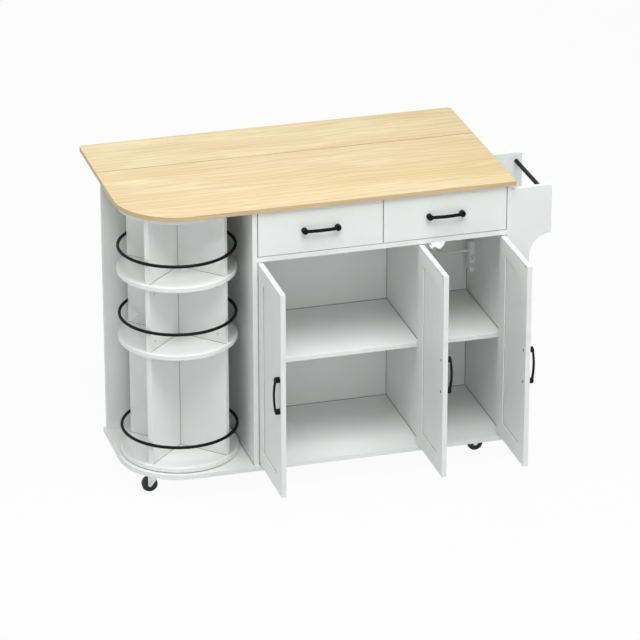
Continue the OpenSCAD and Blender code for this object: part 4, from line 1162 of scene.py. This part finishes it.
@dataclass
class PowerLead:
    """The lead: out of the socket box, through the back and down to a tied coil and plug.

    Its stations are the ones of the drawing, in cabinet millimetres.
    """

    radius: float = 3.5
    middle_x: float = 672.0
    behind_y: float = 412.0
    drop_top_z: float = 503.0
    drop_step: float = 40.0
    drop_steps: int = 12
    coil_at: Pair = (624.0, 468.0)
    coil_low_z: float = 5.0
    coil_high_z: float = 12.6
    coil_in_r: float = 31.0
    coil_pitch: float = 8.0
    coil_turns: float = 4.25
    coil_steps: int = 24
    tail: tuple[float, ...] = (8.0, 18.0, 28.0, 38.0)
    relief: float = 25.0
    plug_l: float = 34.0
    plug_ease: float = 1.2
    blade_skin: float = 0.3

    def route(self) -> list[Triple]:
        """Lists the stations from the strain relief down to the floor.

        Returns:
            The points in cabinet millimetres.
        """
        x, y = self.middle_x, self.behind_y
        inside = [
            (733.0, 312.0, 564.0), (725.0, 312.0, 564.0), (712.0, 315.0, 562.5), (700.0, 323.0, 560.0),
            (690.0, 335.0, 557.5), (682.0, 349.0, 555.5), (676.0, 363.0, 554.0), (673.0, 376.0, 553.5),
            (x, 389.0, 551.0), (x, 400.0, 544.0), (x, 408.0, 533.0), (x, 411.0, 519.0),
        ]
        drop = [(x, y, self.drop_top_z - self.drop_step * k) for k in range(self.drop_steps)]
        foot = [
            (x, y, 45.0), (x, 414.0, 31.0), (x, 420.0, 19.0), (x, 430.0, 10.0),
            (x, 442.0, 5.5), (x, 452.0, 5.0), (x, 460.0, 5.0),
        ]
        return inside + drop + foot

    def coil_point(self, turn: float) -> Triple:
        """The coil's centre line after so many turns: in on the floor, up, and out again.

        Args:
            turn: how many turns from its start.

        Returns:
            The point in cabinet millimetres.
        """
        past = turn - self.coil_turns / 2
        radius = self.coil_in_r + self.coil_pitch * abs(past)
        rise = min(1.0, max(0.0, 2.0 * past + 0.5))
        climb = (self.coil_high_z - self.coil_low_z) * (1.0 - math.cos(math.pi * rise)) / 2.0
        angle, (x, y) = math.tau * turn, self.coil_at
        return (x + radius * math.cos(angle), y + radius * math.sin(angle), self.coil_low_z + climb)

    def path(self) -> list[Vector]:
        """Joins the route, the coil and the tail.

        Returns:
            All stations of the lead in the model's frame.
        """
        turns = [k / self.coil_steps for k in range(int(self.coil_turns * self.coil_steps) + 1)]
        coil = [self.coil_point(turn) for turn in turns]
        x, y, z = coil[-1]
        return [PLACE.at(*p) for p in self.route() + coil + [(x - away, y, z) for away in self.tail]]

    def line(self, points: list[Vector]) -> Obj:
        """Draws the lead's smooth line.

        Args:
            points: its stations.

        Returns:
            The curve's object.
        """
        curve = bpy.data.curves.new("lead_line", "CURVE")
        curve.dimensions = "3D"
        curve.bevel_depth = self.radius * MM
        curve.bevel_resolution = 4
        curve.resolution_u = 4
        curve.use_fill_caps = True
        line = curve.splines.new("BEZIER")
        line.bezier_points.add(len(points) - 1)
        for knot, point in zip(line.bezier_points, points):
            knot.co = point
            knot.handle_left_type = "AUTO"
            knot.handle_right_type = "AUTO"
        return piece_of("power_lead_run", curve)

    def build(self) -> None:
        points = self.path()
        lead = self.line(points)
        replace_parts(lead, "power_lead", "lead_coil")
        finished(lead, LEAD_JACKET, Body.CABINET)
        plug = self.plug()
        shown(BLACK_PLASTIC, "lead_tie")
        shown(WHITE_PLASTIC, "lead_gland")

    def plug(self) -> Obj:
        """Eases the plug's body and gives its blades bare metal.

        Returns:
            The plug.
        """
        plug = Easing(self.plug_ease).eased("lead_plug")
        plug.data.materials.append(LEAD_JACKET.material())
        plug.data.materials.append(ZINC.material())
        end_x = self.coil_point(self.coil_turns)[0] - self.tail[-1] - self.relief - self.plug_l
        edge = PLACE.at(end_x + self.blade_skin, 0.0, 0.0).x
        for face in plug.data.polygons:
            if max(plug.data.vertices[v].co.x for v in face.vertices) < edge:
                face.material_index = 1
        return finished(plug, LEAD_JACKET, Body.CABINET)


@dataclass
class Fastened:
    """A sub-assembly that is held together by fasteners."""

    fasteners: Fasteners


@dataclass
class Carcass(Fastened):
    """Painted boards of the cabinet and of the open end, and their fixings."""

    eased: tuple[str, ...] = (
        "bottom_panel", "shelf_left", "shelf_right", "left_wall", "right_wall", "divider",
    )
    flat: tuple[str, ...] = ("back_panel", "end_back_board", "drawer_deck", "drawer_divider", "rear_rail")
    rooms_x: tuple[Pair, ...] = ((0.0, 512.73), (527.73, SIZES.cabinet_w))
    room_front: float = 3.0
    end_board_y: float = 360.0
    shelf_top: float = 407.0
    shelf_front: float = 33.0
    deck_under: float = 740.5
    shade_half: float = 1.2
    nail_step: float = 120.0
    nail_inset: float = 14.0
    nail_rows_z: Pair = (891.0, 748.0)
    nail_column: Triple = (520.0, 720.0, 100.0)
    cap_ys: Pair = (60.0, 320.0)
    cap_zs: Triple = (400.0, 748.0, 93.0)

    def joints(self) -> None:
        """Draws painted shade: fine dark lines in the corners where floor, shelves, walls and back meet."""
        front, back, foot = self.room_front, SIZES.back_inner_y, SIZES.floor_top
        ends = []
        for room in self.rooms_x:
            for level, edge in ((foot, front), (self.shelf_top, self.shelf_front)):
                ends.append([(x, back, level) for x in room])
                ends += [((x, edge, level), (x, back, level)) for x in room]
            ends += [((x, back, foot), (x, back, self.deck_under)) for x in room]
        ends.append([(-SIZES.board, y, foot) for y in (front, self.end_board_y)])
        spans = [(PLACE.at(*start), PLACE.at(*end)) for start, end in ends]
        # painted shade along the inner corners of both rooms and at the end board's foot
        painted_shade_lines("board_joint_gaps", spans, self.shade_half, Body.CABINET)

    def build(self) -> None:
        """Paints the boards, draws painted shade at their joints, nails the back and caps the wall's screws.
        """
        Easing().dress(PAINT, Body.CABINET, *self.eased)
        shown(PAINT, *self.flat)
        self.joints()
        shown(ZINC, "shelf_pins")
        sides_x = self.nail_inset, SIZES.cabinet_w - self.nail_inset
        lines = [[(x, z) for x in sides_x] for z in self.nail_rows_z]
        column_x, *column_zs = self.nail_column
        lines.append([(column_x, z) for z in column_zs])
        lines = [[PLACE.at(x, SIZES.back_outer_y, z) for x, z in line] for line in lines]
        self.fasteners.nailed("back_panel_nails", lines, self.nail_step)
        wall = SIZES.cabinet_w + SIZES.board
        caps = [(PLACE.at(wall, y, z), TO_RIGHT) for y in self.cap_ys for z in self.cap_zs]
        self.fasteners.spread("right_wall_caps", caps, kind=HeadKind.CAP, finish=WHITE_PLASTIC)


@dataclass
class Worktop(Fastened):
    """Timber worktop and its drop leaf, with butt hinges below the seam."""

    round_over: float = 1.2
    plate: float = 1.5
    screw_pitch: float = 40.0
    screws_y: Pair = (388.5, 419.5)
    screw_size: float = 0.9

    def build(self) -> None:
        """Dresses both boards and the hinges."""
        under, half = SIZES.top_under - self.plate, self.screw_pitch / 2
        for node, body in (("worktop", Body.CABINET), ("drop_leaf", Body.LEAF)):
            Easing(self.round_over, 3).dress(TIMBER, body, node)
        shown(ZINC, "leaf_hinges_fixed", "leaf_hinges_moving")
        for key, body, y in zip(("worktop", "leaf"), (Body.CABINET, Body.LEAF), self.screws_y):
            screws = [(PLACE.at(x + side, y, under), DOWN) for x in SIZES.hinge_xs for side in (-half, half)]
            self.fasteners.spread(f"hinge_screws_{key}", screws, body, self.screw_size)


@dataclass
class FoldingStays(Fastened):
    """Rails, struts and channel arms that hold the leaf up."""

    rail_face_y: float = 380.0
    rail_holes_z: Pair = (779.5, 877.5)
    arm_seat_z: float = 898.4
    arm_holes_y: Pair = (24.0, 191.26)
    sunk_size: float = 0.58

    def build(self) -> None:
        """Dresses the stays and screws them down."""
        shown(ZINC, "stay_rails", "stay_arms", "strut_left", "strut_right")
        rail = [(PLACE.at(x, self.rail_face_y, z), TO_BACK) for x in SIZES.stay_xs for z in self.rail_holes_z]
        axis, seat = SIZES.leaf_axis_y, self.arm_seat_z
        sunk = [(PLACE.at(x, axis + y, seat), DOWN) for x in SIZES.stay_xs for y in self.arm_holes_y]
        self.fasteners.spread("stay_rail_screws", rail)
        self.fasteners.spread("stay_arm_screws", sunk, Body.LEAF, self.sunk_size)


@dataclass(frozen=True)
class DoorSpec:
    """One door: its body, hinge side and the way that it stands open."""

    key: str
    body: Body
    pin_x: float
    free_x: float
    inwards: int
    turn: float

    def opened(self, inset: float, y: float, z: float) -> Vector:
        """A point of the closed door where it is with the door open.

        Args:
            inset: how far from the free edge.
            y: cabinet measure to the back, with the door closed.
            z: the same, upwards.

        Returns:
            The place in the model's frame.
        """
        across, out = Vector(self.facing(-90.0)), Vector(self.facing())
        dx = self.free_x + self.inwards * inset - self.pin_x
        place = across * dx + out * (y - SIZES.door_pin_back)
        return PLACE.at(self.pin_x + place.x, SIZES.door_pin_back + place.y, z)

    def facing(self, more: float = 0.0) -> Triple:
        """The way of the open door's inner face, turned by some more degrees."""
        turn = math.radians(self.turn + more)
        return (-math.sin(turn), math.cos(turn), 0.0)


@dataclass
class Doors(Fastened):
    """Three doors with sunk panels, their handles, screws and strikes."""

    ease_w: float = 0.4
    handle_edge: float = 17.0
    strike_edge: float = 16.0
    strike_down: float = 5.0
    strike_seat: float = 0.9
    strike_r: float = 2.9
    strike_h: float = 0.8
    frame_w: float = 52.0
    sunk: float = 4.0
    line_half: float = 0.8
    specs: tuple[DoorSpec, ...] = (
        DoorSpec("left", Body.DOOR_LEFT, 7.5, 256.2667, -1, -90.0),
        DoorSpec("middle", Body.DOOR_MIDDLE, 508.0333, 259.2667, 1, 90.0),
        DoorSpec("right", Body.DOOR_RIGHT, 764.5, 515.7333, 1, 90.0),
    )

    def panel_lines(self, spec: DoorSpec) -> None:
        """Draws painted shade: a fine dark line round the sunk panel on both of the door's faces.

        Args:
            spec: the door.
        """
        low, high = SIZES.door_foot + self.frame_w, SIZES.door_head - self.frame_w
        near, far = self.frame_w, SIZES.door_w - self.frame_w
        spans = []
        for y in (self.sunk, SIZES.board - self.sunk):
            ends = [spec.opened(x, y, z) for x, z in ((near, low), (near, high), (far, high), (far, low))]
            spans += zip(ends, ends[1:] + ends[:1])
        # painted shade in the corners of the sunk panel
        painted_shade_lines(f"door_{spec.key}_panel_line", spans, self.line_half, spec.body)

    def strike(self, spec: DoorSpec) -> None:
        """Sets the strike's dark disc in its seat on the door's inner face.

        Args:
            spec: the door.
        """
        seat = SIZES.board - self.strike_seat, SIZES.door_head - self.strike_down
        middle = spec.opened(self.strike_edge, *seat)
        turn = Vector(spec.facing()).to_track_quat("Z", "Y").to_matrix().to_4x4()
        radius, high = self.strike_r * MM, self.strike_h * MM
        rise = Matrix.Translation((0.0, 0.0, high / 2))
        edit = bmesh.new()
        bmesh.ops.create_cone(
            edit,
            cap_ends=True,
            segments=24,
            radius1=radius,
            radius2=0.9 * radius,
            depth=high,
            matrix=Matrix.Translation(middle) @ turn @ rise,
        )
        bmesh.ops.recalc_face_normals(edit, faces=edit.faces)
        name = f"door_{spec.key}_strike"
        finished(piece_of(name, mesh_of(name, edit)), BLACK, spec.body)

    def build(self) -> None:
        """Dresses the doors."""
        middle, half = (SIZES.door_foot + SIZES.door_head) / 2, SIZES.handle_pitch / 2
        for spec in self.specs:
            Easing(self.ease_w).dress(PAINT, spec.body, f"door_{spec.key}")
            shown(BLACK, f"door_handle_{spec.key}")
            self.strike(spec)
            self.panel_lines(spec)
            places = [spec.opened(self.handle_edge, SIZES.board, z) for z in (middle - half, middle + half)]
            screws = [(place, spec.facing()) for place in places]
            self.fasteners.spread(f"door_{spec.key}_screws", screws, spec.body, SIZES.handle_screw)
        shown(ZINC, "door_pivots")
        shown(WHITE_PLASTIC, "door_magnets")


@dataclass
class Drawers(Fastened):
    """Two drawers with fronts, boxes, slides and handles."""

    ease_w: float = 0.8
    bodies: tuple[Body, Body] = (Body.DRAWER_LEFT, Body.DRAWER_RIGHT)
    middles_x: Pair = (193.65, 578.35)
    handle_z: float = 827.5
    slide_z: float = 821.5
    wall_faces: tuple[Pair, ...] = ((0.0, 1.0), (378.5, -1.0), (393.5, 1.0), (SIZES.cabinet_w, -1.0))
    track_wall: float = 1.2
    track_ys: Triple = (50.0, 180.0, 310.0)
    track_size: float = 0.85

    def build(self) -> None:
        """Dresses the drawers and their tracks."""
        half = SIZES.handle_pitch / 2
        for key, body, middle in zip(("left", "right"), self.bodies, self.middles_x):
            Easing(self.ease_w).dress(PAINT, body, f"drawer_front_{key}")
            shown(PAINT, f"drawer_box_{key}")
            shown(ZINC, f"drawer_slides_{key}")
            shown(BLACK, f"drawer_handle_{key}")
            places = [PLACE.at(x, SIZES.board, self.handle_z) for x in (middle - half, middle + half)]
            screws = [(place, TO_BACK) for place in places]
            self.fasteners.spread(f"drawer_{key}_screws", screws, body, SIZES.handle_screw)
        shown(ZINC, "drawer_tracks")
        tracks = [
            (PLACE.at(face + way * self.track_wall, y, self.slide_z), (way, 0.0, 0.0))
            for face, way in self.wall_faces
            for y in self.track_ys
        ]
        self.fasteners.spread("track_screws", tracks, size=self.track_size)


@dataclass
class ShelfTower(Fastened):
    """Turning tower of round shelves, crossed fins and guard rings."""

    turn: float = 45.0
    fin_face: float = 7.5
    fin_reach: float = 169.5
    heads: Triple = (451.0, 669.0, 884.0)
    shade_half: float = 0.8
    cam_reach: float = 142.0
    cam_up: float = 27.0
    cam_down: float = 24.0
    cam_faces: tuple[Pair, ...] = ((135.0, 225.0), (315.0, 225.0), (45.0, 315.0), (225.0, 315.0))

    def joints(self) -> None:
        """Draws painted shade: fine dark lines in the corners between the crossed fins and round their feet.
        """
        near, far = self.fin_face, self.fin_reach
        spans = []
        for foot, head in zip(SIZES.shelf_levels, self.heads):
            for x, y in ((1, 1), (1, -1), (-1, 1), (-1, -1)):
                corner = Vector((x * near, y * near, foot)) * MM
                for end in ((x * near, y * near, head), (x * far, y * near, foot), (x * near, y * far, foot)):
                    spans.append((corner, Vector(end) * MM))
        middle = Matrix.Translation(PLACE.at(SIZES.tower_x, SIZES.tower_y, 0.0))
        placed = middle @ Matrix.Rotation(math.radians(self.turn), 4, "Z")
        # painted shade where the fins meet each other and the round shelves
        painted_shade_lines("tower_joint_gaps", spans, self.shade_half, Body.TOWER, placed)

    def cams(self) -> list[Spot]:
        """Finds where the cams sit on the middle fins.

        Returns:
            Each cam's place and the way that it faces.
        """
        levels = SIZES.shelf_levels[1] + self.cam_up, self.heads[1] - self.cam_down
        spots = []
        for angles in self.cam_faces:
            out, way = (Vector((math.cos(a), math.sin(a), 0.0)) for a in map(math.radians, angles))
            place = out * self.cam_reach + way * self.fin_face
            x, y = SIZES.tower_x + place.x, SIZES.tower_y + place.y
            spots += [(PLACE.at(x, y, z), tuple(way)) for z in levels]
        return spots

    def build(self) -> None:
        """Dresses the tower."""
        shown(PAINT, "tower_shelves", "tower_top", "tower_fins")
        self.joints()
        shown(BLACK, "guard_rings")
        shown(ZINC, "turntable_ring", "tower_spindles")
        self.fasteners.spread("tower_cams", self.cams(), Body.TOWER, kind=HeadKind.CAM)


@dataclass
class TowelRail(Fastened):
    """Two shaped brackets and the black rod between them."""

    ease_w: float = 1.0
    screws_yz: tuple[Pair, ...] = ((284.5, 868.0), (284.5, 700.0), (284.5, 640.0), (9.5, 868.0))

    def build(self) -> None:
        """Dresses the rail; its screws come through the wall."""
        Easing(self.ease_w).dress(PAINT, Body.CABINET, "towel_brackets")
        shown(BLACK, "towel_rod")
        screws = [(PLACE.at(SIZES.cabinet_w, y, z), TO_LEFT) for y, z in self.screws_yz]
        self.fasteners.spread("towel_bracket_screws", screws)


@dataclass
class SocketBox:
    """Slim socket box on the right wall."""

    ease_w: float = 0.6
    front: float = 300.0
    rim: float = 0.8
    slot_depth: float = 5.5
    slot_face: float = 1e-4

    def build(self) -> None:
        """Dresses the box and paints shade inside its outlets in black plastic."""
        box = Easing(self.ease_w).eased("socket_box")
        box.data.materials.append(WHITE_PLASTIC.material())
        box.data.materials.append(BLACK_PLASTIC.material())
        low, high = (PLACE.at(0.0, self.front + y, 0.0).y for y in (self.rim, self.slot_depth))
        # painted shade: slot walls inside the outlets turn black where shade falls on the white plastic
        for face in box.data.polygons:
            face.material_index = int(low < face.center.y < high and face.area < self.slot_face)
        finished(box, WHITE_PLASTIC, Body.CABINET)


@dataclass
class Casters(Fastened):
    """Four swivel casters with zinc forks and black wheels."""

    xs: Pair = (-303.0, 726.0)
    ys: Pair = (78.0, 315.0)
    ends: tuple[str, str] = ("front", "rear")
    sides: tuple[str, str] = ("left", "right")
    plate_under: float = 61.5
    hole: float = 16.0

    def build(self) -> None:
        """Dresses the casters and screws on their plates."""
        screws = []
        for end, y in zip(self.ends, self.ys):
            for side, x in zip(self.sides, self.xs):
                shown(ZINC, f"caster_fork_{end}_{side}")
                shown(TREAD, f"caster_wheel_{end}_{side}")
                for dx in (-self.hole, self.hole):
                    for dy in (-self.hole, self.hole):
                        screws.append((PLACE.at(x + dx, y + dy, self.plate_under), DOWN))
        shown(ZINC, "caster_plates")
        self.fasteners.spread("caster_screws", screws)


def main() -> None:
    """Builds the whole scene, studio and lead first."""
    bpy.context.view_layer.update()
    Studio().build()
    PowerLead().build()
    fasteners = Fasteners()
    fasteners.shape()
    parts = (Carcass, Worktop, FoldingStays, Doors, Drawers, ShelfTower, TowelRail)
    for part in (*(kind(fasteners) for kind in parts), SocketBox(), Casters(fasteners)):
        part.build()
        log.info("built: %s", type(part).__name__)
    fasteners.put_away()


if __name__ == "__main__":
    main()
